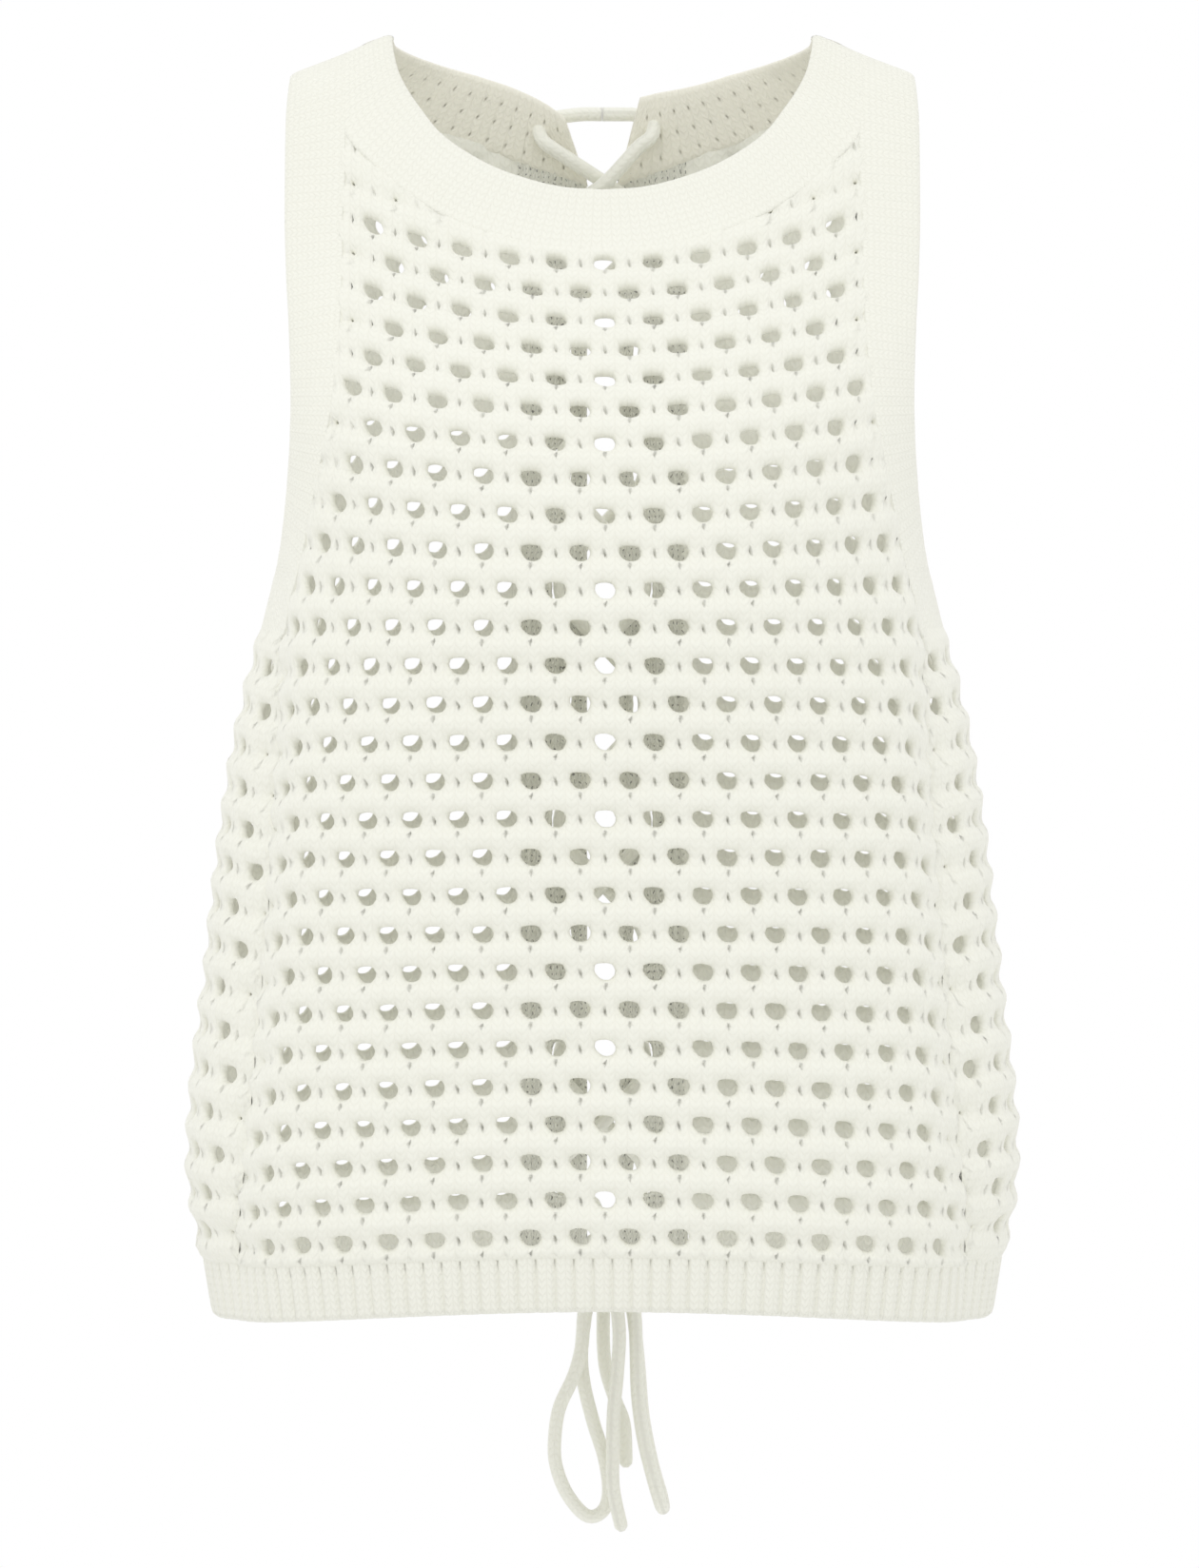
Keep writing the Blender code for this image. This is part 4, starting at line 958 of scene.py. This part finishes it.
def ribbed(name, cloth, width, settings, form, mirror, seed, material):
    """Lay a row of ribs along a band or hem and close its ends."""
    total = float(cloth.runs[0, -1] - cloth.runs[0, 0])
    ribs = round(float(cloth.runs[0, -1]) / (settings.rib_pitch / MM))
    pitch = total / ribs
    cell = rib_cell("rib", pitch, width, *form)
    spots = [(pitch * (k + 0.5), 0.0) for k in range(ribs)]
    mesh = repeat(name, spots, [1] * ribs, [cell], RIB_UNEVENNESS, seed)
    flat = flat_points(mesh)
    low, high = cloth.rows[0], cloth.rows[-1]
    share = np.clip(flat[:, 1] / width, 0.0, 1.0)
    flat[:, 0] = np.clip(flat[:, 0], 0.0, total)
    points = cloth.lay(flat[:, 0] + cloth.runs[0, 0], low + (high - low) * share, flat[:, 2])
    put_in_place(mesh, points, np.zeros(len(points), bool), mirror)

    def close(shaped):
        open_edges = [e for e in shaped.edges if e.is_boundary]
        filled = bmesh.ops.holes_fill(shaped, edges=open_edges, sides=0)
        bmesh.ops.triangulate(shaped, faces=filled["faces"])
    reshape(mesh, close)
    return finish(name, mesh, flat, material)


def hem_cloth(start, end):
    """Hem between two turns, from its top row to its bottom row."""
    rows = np.linspace(HEM_START_ROW - HEM_TUCK_ROWS, HEM_END_ROW, 9)
    lines = []
    for row in rows:
        turns = even_turns(row, start, end, 145)
        lines.append((turns, row_drops(row, turns)))
    cloth = Cloth(rows, lines)
    cloth.runs = np.repeat(cloth.runs[4][None], len(rows), axis=0)
    return cloth


# ---- plackets
PLACKET_MIDDLE = -3.1
PURL_PITCH = 3.9
PURL_ROW = 3.3
PURL_UNEVENNESS = 0.9
PURL_SEED = 5.0
PURL_SIDES = (
    ((-0.5, -0.25, 0.0, 0.25, 0.5), PLACKET_OUTSIDE - 0.8, 0.8, 1.3),
    ((-0.5, 0.0, 0.5), PLACKET_INSIDE + 0.6, -0.6, -1.0),
)


def placket_cell():
    """Flat cell of the dense knit: one purl bump with gaps at its corners."""
    points = []
    for shares, level, height, sunk in PURL_SIDES:
        for v in shares:
            for u in shares:
                bump = math.cos(math.pi * u) * math.cos(math.pi * v)
                corner = sunk if abs(u) == 0.5 and abs(v) == 0.5 else 0.0
                points.append((u * PURL_PITCH, v * PURL_ROW, level + height * bump - corner))
    faces = [face for j in range(4) for face in strip(j * 5, j * 5 + 5, 5, False)]
    faces += [(a, d, c, b) for j in range(2)
              for a, b, c, d in strip(25 + j * 3, 28 + j * 3, 3, False)]
    return temporary("purl", points, faces)


def placket_frame():
    """Function for the top drop of a placket, and its bottom drop."""
    bottom = float(row_drops(HEM_END_ROW, np.array([170.0]))[0])

    def top(x):
        seam = (NECK_BACK[name][3:] for name in ("seam_turn", "seam_drop"))
        return smooth(turn_at(x, 52.0), *seam) - 2.5
    return top, bottom


def eyelet_outline(x, drop, grow, count):
    """Outline of one eyelet as x and drop."""
    angles = 2 * math.pi * np.arange(count) / count
    c, s = np.cos(angles), np.sin(angles)
    wide = EYELET_WIDTH / 2 + grow
    high = EYELET_HEIGHT / 2 + grow
    return x + wide * np.sign(c) * np.abs(c) ** 0.6, drop + high * np.sign(s) * np.abs(s) ** 0.6


def placket(name, mirror, material):
    """Knit one placket with its eyelets."""
    top, bottom = placket_frame()
    columns = round((PLACKET_SEAM_X - PLACKET_EDGE_X) / PURL_PITCH)
    rows = int((bottom - 18.0) / PURL_ROW) + 1
    spots = [(PLACKET_EDGE_X + PURL_PITCH * (i + 0.5), bottom - PURL_ROW * (j + 0.5))
             for j in range(rows) for i in range(columns)]
    mesh = repeat(name, spots, [1] * len(spots), [placket_cell()], PURL_UNEVENNESS, PURL_SEED)
    flat = flat_points(mesh)
    x = np.clip(flat[:, 0], PLACKET_EDGE_X, PLACKET_SEAM_X)
    drop = np.minimum(flat[:, 1], bottom)
    high = top(x)
    outside = drop < high - 0.01
    drop = np.maximum(drop, high)
    for k in range(EYELET_ROWS):
        centre = FIRST_EYELET_DROP + EYELET_PITCH * k
        a, b = (x - EYELET_X) / (EYELET_WIDTH / 2), (drop - centre) / (EYELET_HEIGHT / 2)
        reach = (np.abs(a) ** 3.3 + np.abs(b) ** 3.3) ** (1 / 3.3)
        inside = reach < 1.0
        push = np.where(inside, 1 / np.maximum(reach, 0.05), 1.0)
        x = EYELET_X + (x - EYELET_X) * push
        drop = centre + (drop - centre) * push
        outside |= inside
    edge = np.minimum(np.minimum(x - PLACKET_EDGE_X, PLACKET_SEAM_X - x),
                      np.minimum(bottom - drop, 9.0))
    thin = 0.12 + 0.88 * np.sin(np.clip(edge / 1.6, 0.0, 1.0) * math.pi / 2)
    depth = PLACKET_MIDDLE + (flat[:, 2] - PLACKET_MIDDLE) * thin
    put_in_place(mesh, skin(turn_at(x, drop), drop, depth), outside, mirror)
    return finish(name, mesh, np.stack([x, drop, depth], -1), material)


def wound_ring(outline, thick, turns_round, sides):
    """Closed tube along an outline, thickened where its thread is wound."""
    ahead = unit(np.roll(outline, -1, axis=0) - np.roll(outline, 1, axis=0))
    middle = outline.mean(axis=0)
    count = len(outline)
    normal = np.cross(outline[0] - middle, outline[count // 4] - middle)
    normal /= np.linalg.norm(normal)
    sideways = np.cross(ahead, normal)
    points = []
    for i in range(count):
        wound = 0.86 + 0.14 * math.cos(2 * math.pi * turns_round * i / count)
        for k in range(sides):
            angle = 2 * math.pi * k / sides
            offset = sideways[i] * math.cos(angle) + normal * math.sin(angle) * 1.15
            points.append(outline[i] + offset * thick * wound)
    faces = [face for i in range(count)
             for face in strip(i * sides, (i + 1) % count * sides, sides)]
    return points, faces


# ---- lace
CORD_STITCH = (3.4, 3.2)
STITCHES_ROUND = 4
FREE_ENDS = (("loop_left", LOOP_LEFT, "knot"), ("loop_right", LOOP_RIGHT, "knot"),
             ("tail_left", TAIL_LEFT, "bare"), ("tail_right", TAIL_RIGHT, "bare"))


def back_place(x, drop, depth):
    """Point behind or inside the back, measured from the middle of the cloth."""
    point = skin(turn_at(x, drop), drop, (PLACKET_OUTSIDE + PLACKET_INSIDE) / 2 + depth)
    return point * np.array([math.copysign(1.0, x), 1.0, 1.0])


def rounded(points, per_span=6):
    """Smooth line through route points."""
    points = np.asarray(points, float)
    padded = np.concatenate([[2 * points[0] - points[1]], points, [2 * points[-1] - points[-2]]])
    line = []
    for k in range(1, len(padded) - 2):
        a, b, c, d = padded[k - 1:k + 3]
        for t in np.linspace(0.0, 1.0, per_span, endpoint=False):
            line.append(0.5 * (2 * b + (c - a) * t + (2 * a - 5 * b + 4 * c - d) * t**2
                               + (3 * b - 3 * c + d - a) * t**3))
    line.append(points[-1])
    return np.array(line)


def strand_route(side):
    """Route of half of the lace, from the top bar's middle to the knot."""
    _, x, top_drop = TOP_EYELETS[0 if side < 0 else 1]
    top_x = side * x
    route = [
        back_place(side * 0.15, 31.5, 6.8),
        back_place(side * 9.0, 31.6, 7.0),
        back_place(top_x - side * 8.0, top_drop - 2.2, 7.0),
        back_place(top_x - side * 1.8, top_drop - 1.6, 3.9),
        back_place(top_x, top_drop, -0.6),
        back_place(top_x - side * 1.6, top_drop + 3.0, -5.6),
        back_place(top_x - side * 7.0, top_drop + 6.5, -8.0),
    ]
    previous_drop = 2 * 55.0 - FIRST_EYELET_DROP
    face = -1.0
    for k in range(EYELET_ROWS):
        hand = -side if k % 2 == 0 else side
        drop = FIRST_EYELET_DROP + EYELET_PITCH * k
        far = (k % 2 == 0) == (side > 0)
        lift = CORD_LIFT + 0.5 + (CORD_CROSS if far else 0.0)
        route.append(back_place(0.0, (previous_drop + drop) / 2, face * lift))
        for share, depth in LACE_PASS:
            angle = math.radians(44.0) * share
            x = hand * (LACE_X - LACE_BEND * (1 - math.cos(angle)))
            route.append(back_place(x, drop + LACE_BEND * math.sin(angle), face * depth))
        previous_drop = drop
        face = -face
    hand = math.copysign(1.0, route[-1][0])
    x, y, z = KNOT_CENTRE
    route.append([x + hand * 8.0, y - 2.0, z + 13.5])
    route.append([x + hand * 5.5, y - 1.0, z + 9.5])
    return route


def cord_mesh(name, route, radius, bare=False, sides=14, spacing=1.6):
    """Round knitted cord along a route, with a rounded end where it is bare."""
    line = rounded(route)
    run = lengths(line)
    count = max(int(run[-1] / spacing), 6)
    at = np.linspace(0.0, run[-1], count + 1)
    line = np.stack([np.interp(at, run, line[:, k]) for k in range(3)], -1)
    ahead = unit(np.gradient(line, axis=0))
    side = np.cross(ahead[0], [0.0, 0.0, 1.0])
    if np.linalg.norm(side) < 0.1:
        side = np.cross(ahead[0], [1.0, 0.0, 0.0])
    points = []
    flat = []
    for i, (spot, along) in enumerate(zip(line, ahead)):
        side = side - along * np.dot(side, along)
        side /= np.linalg.norm(side)
        other = np.cross(along, side)
        end = min((run[-1] - at[i] + 0.3) / radius, 1.0) if bare else 1.0
        round_end = math.sqrt(1 - (1 - end) ** 2)
        for k in range(sides):
            angle = 2 * math.pi * k / sides
            points.append(spot + (side * math.cos(angle) + other * math.sin(angle))
                          * radius * round_end)
            flat.append((k / sides * STITCHES_ROUND * CORD_STITCH[0], at[i], 0.0))
    faces = [face for i in range(count) for face in strip(i * sides, (i + 1) * sides, sides)]
    faces += [tuple(range(sides))[::-1], tuple(range(count * sides, (count + 1) * sides))]
    mesh = bpy.data.meshes.new(name)
    mesh.from_pydata(metres(points), [], faces)
    return mesh, np.array(flat), line, float(run[-1])


def cord_piece(name, route, radius, material, far_end):
    """Make one free piece of the lace."""
    mesh, flat, line, length = cord_mesh(name, route, radius, far_end == "bare")
    piece = finish(name, mesh, flat, material)
    return piece


# ---- settings
def length_setting(name, description, default, low, high):
    """A setting that is a length."""
    return FloatProperty(name=name, description=description, default=default, min=low, max=high,
                         unit="LENGTH")


class KnitTopSettings(bpy.types.PropertyGroup):
    """Sizes and colours of the knit top."""

    hole_pitch: length_setting("Hole Pitch", "Distance between holes along a row",
        0.0196, 0.012, 0.03)
    hole_width: length_setting("Hole Width", "Width of an openwork hole",
        0.0080, 0.003, 0.014)
    hole_height: length_setting("Hole Height", "Height of an openwork hole",
        0.0065, 0.003, 0.011)
    unevenness: length_setting("Unevenness", "How far hand-made stitches wander",
        0.0016, 0.0, 0.004)
    plain_edges: FloatVectorProperty(
        name="Plain Edges", description="Cloth left without holes at the start, end and top",
        default=(0.010, 0.010, 0.0125), size=3, unit="LENGTH")
    rib_pitch: length_setting("Rib Pitch", "Distance between ribs of the hem and the bands",
        0.0076, 0.004, 0.012)
    cord: length_setting("Lace Cord", "Diameter of the lace",
        0.006, 0.003, 0.009)
    back_rows: FloatProperty(
        name="Back Row Stretch", description="How much taller the back's rows are",
        default=1.05, min=0.9, max=1.2)
    back_columns: FloatProperty(
        name="Back Column Stretch", description="How much wider the back's columns are",
        default=1.046, min=0.9, max=1.2)
    yarn: FloatVectorProperty(
        name="Yarn", description="Colour of the ivory cotton", subtype="COLOR",
        default=(0.885, 0.886, 0.81), min=0.0, max=1.0)
    seed: IntProperty(
        name="Seed", description="Picks another wander of the stitches", default=3)
    distance: length_setting("Camera Distance", "From the camera to the side line of the top",
        2.2, 0.5, 10.0)


def given():
    """Current settings of the knit top."""
    return bpy.context.scene.knit_top


FORMS = {
    "openwork": ((1.0, 1.0, 1.0), (4.9, 3.3), 0.35, 0.0),
    "rib": ((0.99, 0.99, 0.99), (3.8, 3.0), 0.45, 0.0),
    "band": ((1.005, 1.005, 1.005), (3.8, 3.0), 0.40, 0.0),
    # Painted light: the inner back neckbands get a warmer, slightly brighter copy of the band
    # colour for the warm light inside the neck; the yarn is the same.
    "inner": ((1.01, 0.99, 0.965), (3.8, 3.0), 0.35, 0.0),
    # The dense placket knit has shade painted into the gaps between its stitches.
    "dense": ((0.99, 0.99, 0.99), (2.6, 3.0), 0.6, 0.7),
    "cord": ((1.005, 1.005, 1.005), CORD_STITCH, 0.4, 0.0),
}


def knit(kind):
    """Shared materials of the garment, made once: tint, stitch, relief and painted shade in the
    gaps.
    """
    name = "knit_" + kind
    if name in bpy.data.materials:
        return bpy.data.materials[name]
    tint, *rest = FORMS[kind]
    return knit_material(name, tuple(c * t for c, t in zip(given().yarn, tint)), *rest)


# ---- operators
VIEW_HEIGHT = 16.88
CAMERA_TILT = 1.94
CAMERA_X = -0.0012
CAMERA_Z = -0.2388
LAMPS = (("key", (-0.4, -1.5, 1.9), 0.9, 19.0), ("fill", (0.12, -2.3, -0.16), 0.5, 15.0))
LAMP_TARGET = (0.0, 0.0, -0.3)
FLOOR_Z = -1.4


class KNITTOP_OT_stage(bpy.types.Operator):
    """Set up the camera, the lights and the floor."""
    bl_idname = "knittop.stage"
    bl_label = "Stage"

    def execute(self, context):
        scene = context.scene
        scene.view_settings.view_transform = "Standard"
        scene.view_settings.look = "None"
        world = bpy.data.worlds.new("studio")
        scene.world = world
        world.use_nodes = True
        ground = world.node_tree.nodes["Background"]
        ground.inputs["Color"].default_value = (1.0, 1.0, 1.0, 1.0)
        ground.inputs["Strength"].default_value = 1.0
        camera_data = bpy.data.cameras.new("camera")
        camera = bpy.data.objects.new("camera", camera_data)
        scene.collection.objects.link(camera)
        camera_data.sensor_width = 36.0
        camera_data.lens = 36.0 / 2 / math.tan(math.radians(VIEW_HEIGHT / 2))
        camera_data.clip_start = 0.05
        camera_data.clip_end = 50.0
        camera.location = (CAMERA_X, -given().distance, CAMERA_Z)
        camera.rotation_euler = (math.radians(90.0 - CAMERA_TILT), 0.0, 0.0)
        scene.camera = camera
        for name, place, size, power in LAMPS:
            lamp = bpy.data.lights.new(name, "AREA")
            lamp.shape = "DISK"
            lamp.size = size
            lamp.energy = power
            thing = bpy.data.objects.new(name, lamp)
            thing.location = place
            aim = np.array(LAMP_TARGET) - np.array(place)
            thing.rotation_euler = (math.acos(aim[2] / np.linalg.norm(aim)) - math.pi, 0.0,
                                    math.atan2(aim[1], aim[0]) - math.pi / 2)
            scene.collection.objects.link(thing)
        self.floor(scene)
        return {"FINISHED"}

    def floor(self, scene):
        """Pale round floor well below the hanging top."""
        shape = bmesh.new()
        bmesh.ops.create_circle(shape, cap_ends=True, segments=96, radius=2.6)
        mesh = bpy.data.meshes.new("floor")
        shape.to_mesh(mesh)
        shape.free()
        mesh.transform(Matrix.Translation((0.0, 0.0, FLOOR_Z)))
        made = bpy.data.materials.new("floor")
        made.use_nodes = True
        shader = made.node_tree.nodes["Principled BSDF"]
        shader.inputs["Base Color"].default_value = (0.86, 0.86, 0.85, 1.0)
        shader.inputs["Roughness"].default_value = 0.9
        mesh.materials.append(made)
        floor = bpy.data.objects.new("floor", mesh)
        scene.collection.objects.link(floor)


class KNITTOP_OT_lace(bpy.types.Operator):
    """Thread the lace, tie its knot and hang its loops and tails."""
    bl_idname = "knittop.lace"
    bl_label = "Lace"

    def execute(self, context):
        radius = given().cord / MM / 2
        cord = knit("cord")
        knot = self.knot(radius, cord)
        for name, side in (("left", -1.0), ("right", 1.0)):
            route = strand_route(side)
            cord_piece("lace_strand_" + name + "_cord", route, radius, cord, "knot")
        for name, route, far_end in FREE_ENDS:
            cord_piece("lace_" + name + "_cord", route, radius, cord, far_end)
        return {"FINISHED"}

    def knot(self, radius, material):
        """Bow knot: two crossing turns under one wrap."""
        x, y, z = KNOT_CENTRE
        angles = np.linspace(0.0, 2 * math.pi, 17)
        wrap = [(x + 1.5 * math.sin(a), y + 6.6 * math.cos(a), z + 5.4 * math.sin(a))
                for a in angles]
        turns = [(x - 8.2, y - 2.0, z + 3.6), (x - 5.0, y - 3.8, z + 1.0),
                 (x + 1.0, y - 3.6, z - 1.0), (x + 6.0, y - 2.0, z - 3.4),
                 (x + 8.0, y + 2.0, z - 4.0)]
        others = [(x + 8.2, y - 2.0, z + 3.6), (x + 5.0, y + 2.6, z + 1.4),
                  (x - 1.0, y + 4.0, z - 0.6), (x - 6.0, y + 2.0, z - 3.4),
                  (x - 7.6, y - 2.0, z - 4.0)]
        whole = bmesh.new()
        flats = []
        for route in (wrap, turns, others):
            mesh, flat, _, _ = cord_mesh("knot", route, radius * 0.98)
            whole.from_mesh(mesh)
            flats.append(flat)
            bpy.data.meshes.remove(mesh)
        made = bpy.data.meshes.new("lace_knot_turns")
        whole.to_mesh(made)
        whole.free()
        return finish("lace_knot_turns", made, np.concatenate(flats), material)


FRONT_PHASE = (1.0, 0.0)
BACK_PHASES = {"left": (3.0, 11.92), "right": (4.6, 9.66)}


class KNITTOP_OT_panels(bpy.types.Operator):
    """Knit the openwork front and the two openwork backs."""
    bl_idname = "knittop.panels"
    bl_label = "Openwork Panels"

    def execute(self, context):
        settings = given()
        knitted = knit("openwork")
        front = front_cloth()
        piece = openwork("front_panel_cloth", front, settings, FRONT_PHASE, 1.0, 1.0,
                         False, settings.seed, knitted)
        self.declare(piece, front, ["neckband_front", "hem_rib_front"])
        back = back_cloth()
        for name, sign, _ in SIDES:
            phase = BACK_PHASES[name]
            piece = openwork("back_panel_" + name + "_cloth", back, settings, phase,
                             settings.back_columns, settings.back_rows, sign < 0,
                             settings.seed + 4 + sign, knitted)
            self.declare(piece, back, ["placket_" + name, "hem_rib_back_" + name])
        return {"FINISHED"}

    def declare(self, piece, panel, rests):
        """Work out how much of each row of a panel is covered; the result is not kept."""
        widths = panel.cloth.runs[:, -1] - panel.cloth.runs[:, 0]
        for row in np.arange(TOP_ROW, panel.last, ROW_STEP):
            along = np.linspace(panel.cloth.runs.min() - 20.0, panel.cloth.runs.max(), 400)
            _, _, edges = panel.inset(along, np.full(400, row))
            covered = float((edges.min(axis=0) > 0).sum()) * (along[1] - along[0])


class KNITTOP_OT_hem(bpy.types.Operator):
    """Knit the ribbed hem of the front and the backs."""
    bl_idname = "knittop.hem"
    bl_label = "Ribbed Hem"

    def execute(self, context):
        settings = given()
        seam = float(side_seam(510.0, "turn"))
        edge = float(turn_at(PLACKET_SEAM_X + 0.3, 525.0))
        form = (HEM_FACE, HEM_BACK, 1.25, 1.4, ())
        front = hem_cloth(-seam + HEM_SEAM_GAP, seam - HEM_SEAM_GAP)
        back = hem_cloth(seam + HEM_SEAM_GAP, edge)
        parts = [("hem_rib_front_cloth", front, False, "front_panel")]
        parts += [("hem_rib_back_" + name + "_cloth", back, sign < 0, "back_panel_" + name)
                  for name, sign, _ in SIDES]
        width = (HEM_END_ROW - HEM_START_ROW + HEM_TUCK_ROWS) * ROW_PITCH
        for name, cloth, mirror, rests in parts:
            piece = ribbed(name, cloth, width, settings, form, mirror, settings.seed, knit("rib"))
        return {"FINISHED"}


class KNITTOP_OT_bands(bpy.types.Operator):
    """Knit the neckbands and the armhole bands."""
    bl_idname = "knittop.bands"
    bl_label = "Neck And Armhole Bands"

    def execute(self, context):
        settings = given()
        form = (BAND_FACE, BAND_BACK, 0.12, 0.0, BAND_PITS)
        last = last_station(NECK_FRONT)
        at = np.linspace(-last, last, 261)
        front = station_cloth(NECK_FRONT, last - np.abs(at), np.sign(at) + (at == 0.0))
        parts = [("neckband_front_cloth", front, False, "front_panel", "band")]
        arm = station_cloth(ARMHOLE, np.linspace(0.0, last_station(ARMHOLE), 401))
        for name, sign, sag in SIDES:
            back = station_cloth(NECK_BACK, np.linspace(0.0, last_station(NECK_BACK), 141),
                                 sag=sag)
            # The back neckbands take the inner copy of the band colour, with its painted warm
            # light.
            parts.append(("neckband_back_" + name + "_cloth", back, sign < 0,
                          "back_panel_" + name, "inner"))
            parts.append(("armhole_band_" + name + "_cloth", arm, sign < 0, "front_panel", "band"))
        for name, cloth, mirror, rests, kind in parts:
            across = cloth.places[:, cloth.places.shape[1] // 2]
            width = float(np.linalg.norm(np.diff(across, axis=0), axis=1).sum())
            piece = ribbed(name, cloth, width, settings, form, mirror, settings.seed + 2,
                           knit(kind))
        return {"FINISHED"}


class KNITTOP_OT_plackets(bpy.types.Operator):
    """Knit the two plackets and work round their eyelets."""
    bl_idname = "knittop.plackets"
    bl_label = "Plackets And Eyelets"

    def execute(self, context):
        top, bottom = placket_frame()
        for name, sign, _ in SIDES:
            piece = placket("placket_" + name + "_cloth", sign < 0, knit("dense"))
            length = bottom - float(top(22.0))
            length * MM
            points = []
            faces = []
            for k in range(EYELET_ROWS):
                x, drop = eyelet_outline(EYELET_X, FIRST_EYELET_DROP + EYELET_PITCH * k, 0.5, 64)
                outline = skin(turn_at(x, drop), drop, PLACKET_MIDDLE) * np.array([sign, 1.0, 1.0])
                ring, ring_faces = wound_ring(outline, 1.25, 22, 8)
                faces += [tuple(i + len(points) for i in f) for f in ring_faces]
                points += ring
            mesh = bpy.data.meshes.new("eyelets_" + name)
            mesh.from_pydata(metres(points), [], faces)
            reshape(mesh, lambda shaped: bmesh.ops.recalc_face_normals(shaped, faces=shaped.faces))
            finish("eyelets_" + name, mesh, np.array(points), knit("cord"), False)
        return {"FINISHED"}


OPERATORS = (
    KNITTOP_OT_stage, KNITTOP_OT_lace, KNITTOP_OT_panels, KNITTOP_OT_hem, KNITTOP_OT_bands,
    KNITTOP_OT_plackets,
)


class KNITTOP_PT_panel(bpy.types.Panel):
    """Lists the settings and the pieces of the knit top."""
    bl_idname = "KNITTOP_PT_panel"
    bl_label = "Knit Top"
    bl_space_type = "VIEW_3D"
    bl_region_type = "UI"
    bl_category = "Knit Top"

    def draw(self, context):
        for name in KnitTopSettings.__annotations__:
            self.layout.prop(context.scene.knit_top, name)
        for operator in OPERATORS:
            self.layout.operator(operator.bl_idname)


CLASSES = (KnitTopSettings, *OPERATORS, KNITTOP_PT_panel)


def register():
    """Register the classes and the settings."""
    for made in CLASSES:
        bpy.utils.register_class(made)
    bpy.types.Scene.knit_top = PointerProperty(type=KnitTopSettings)


def unregister():
    """Remove the settings and the classes."""
    del bpy.types.Scene.knit_top
    for made in reversed(CLASSES):
        bpy.utils.unregister_class(made)


def main():
    """Make the whole garment and its stage."""
    register()
    bpy.ops.knittop.stage()
    bpy.ops.knittop.lace()
    bpy.ops.knittop.panels()
    bpy.ops.knittop.hem()
    bpy.ops.knittop.bands()
    bpy.ops.knittop.plackets()


if __name__ == "__main__":
    main()
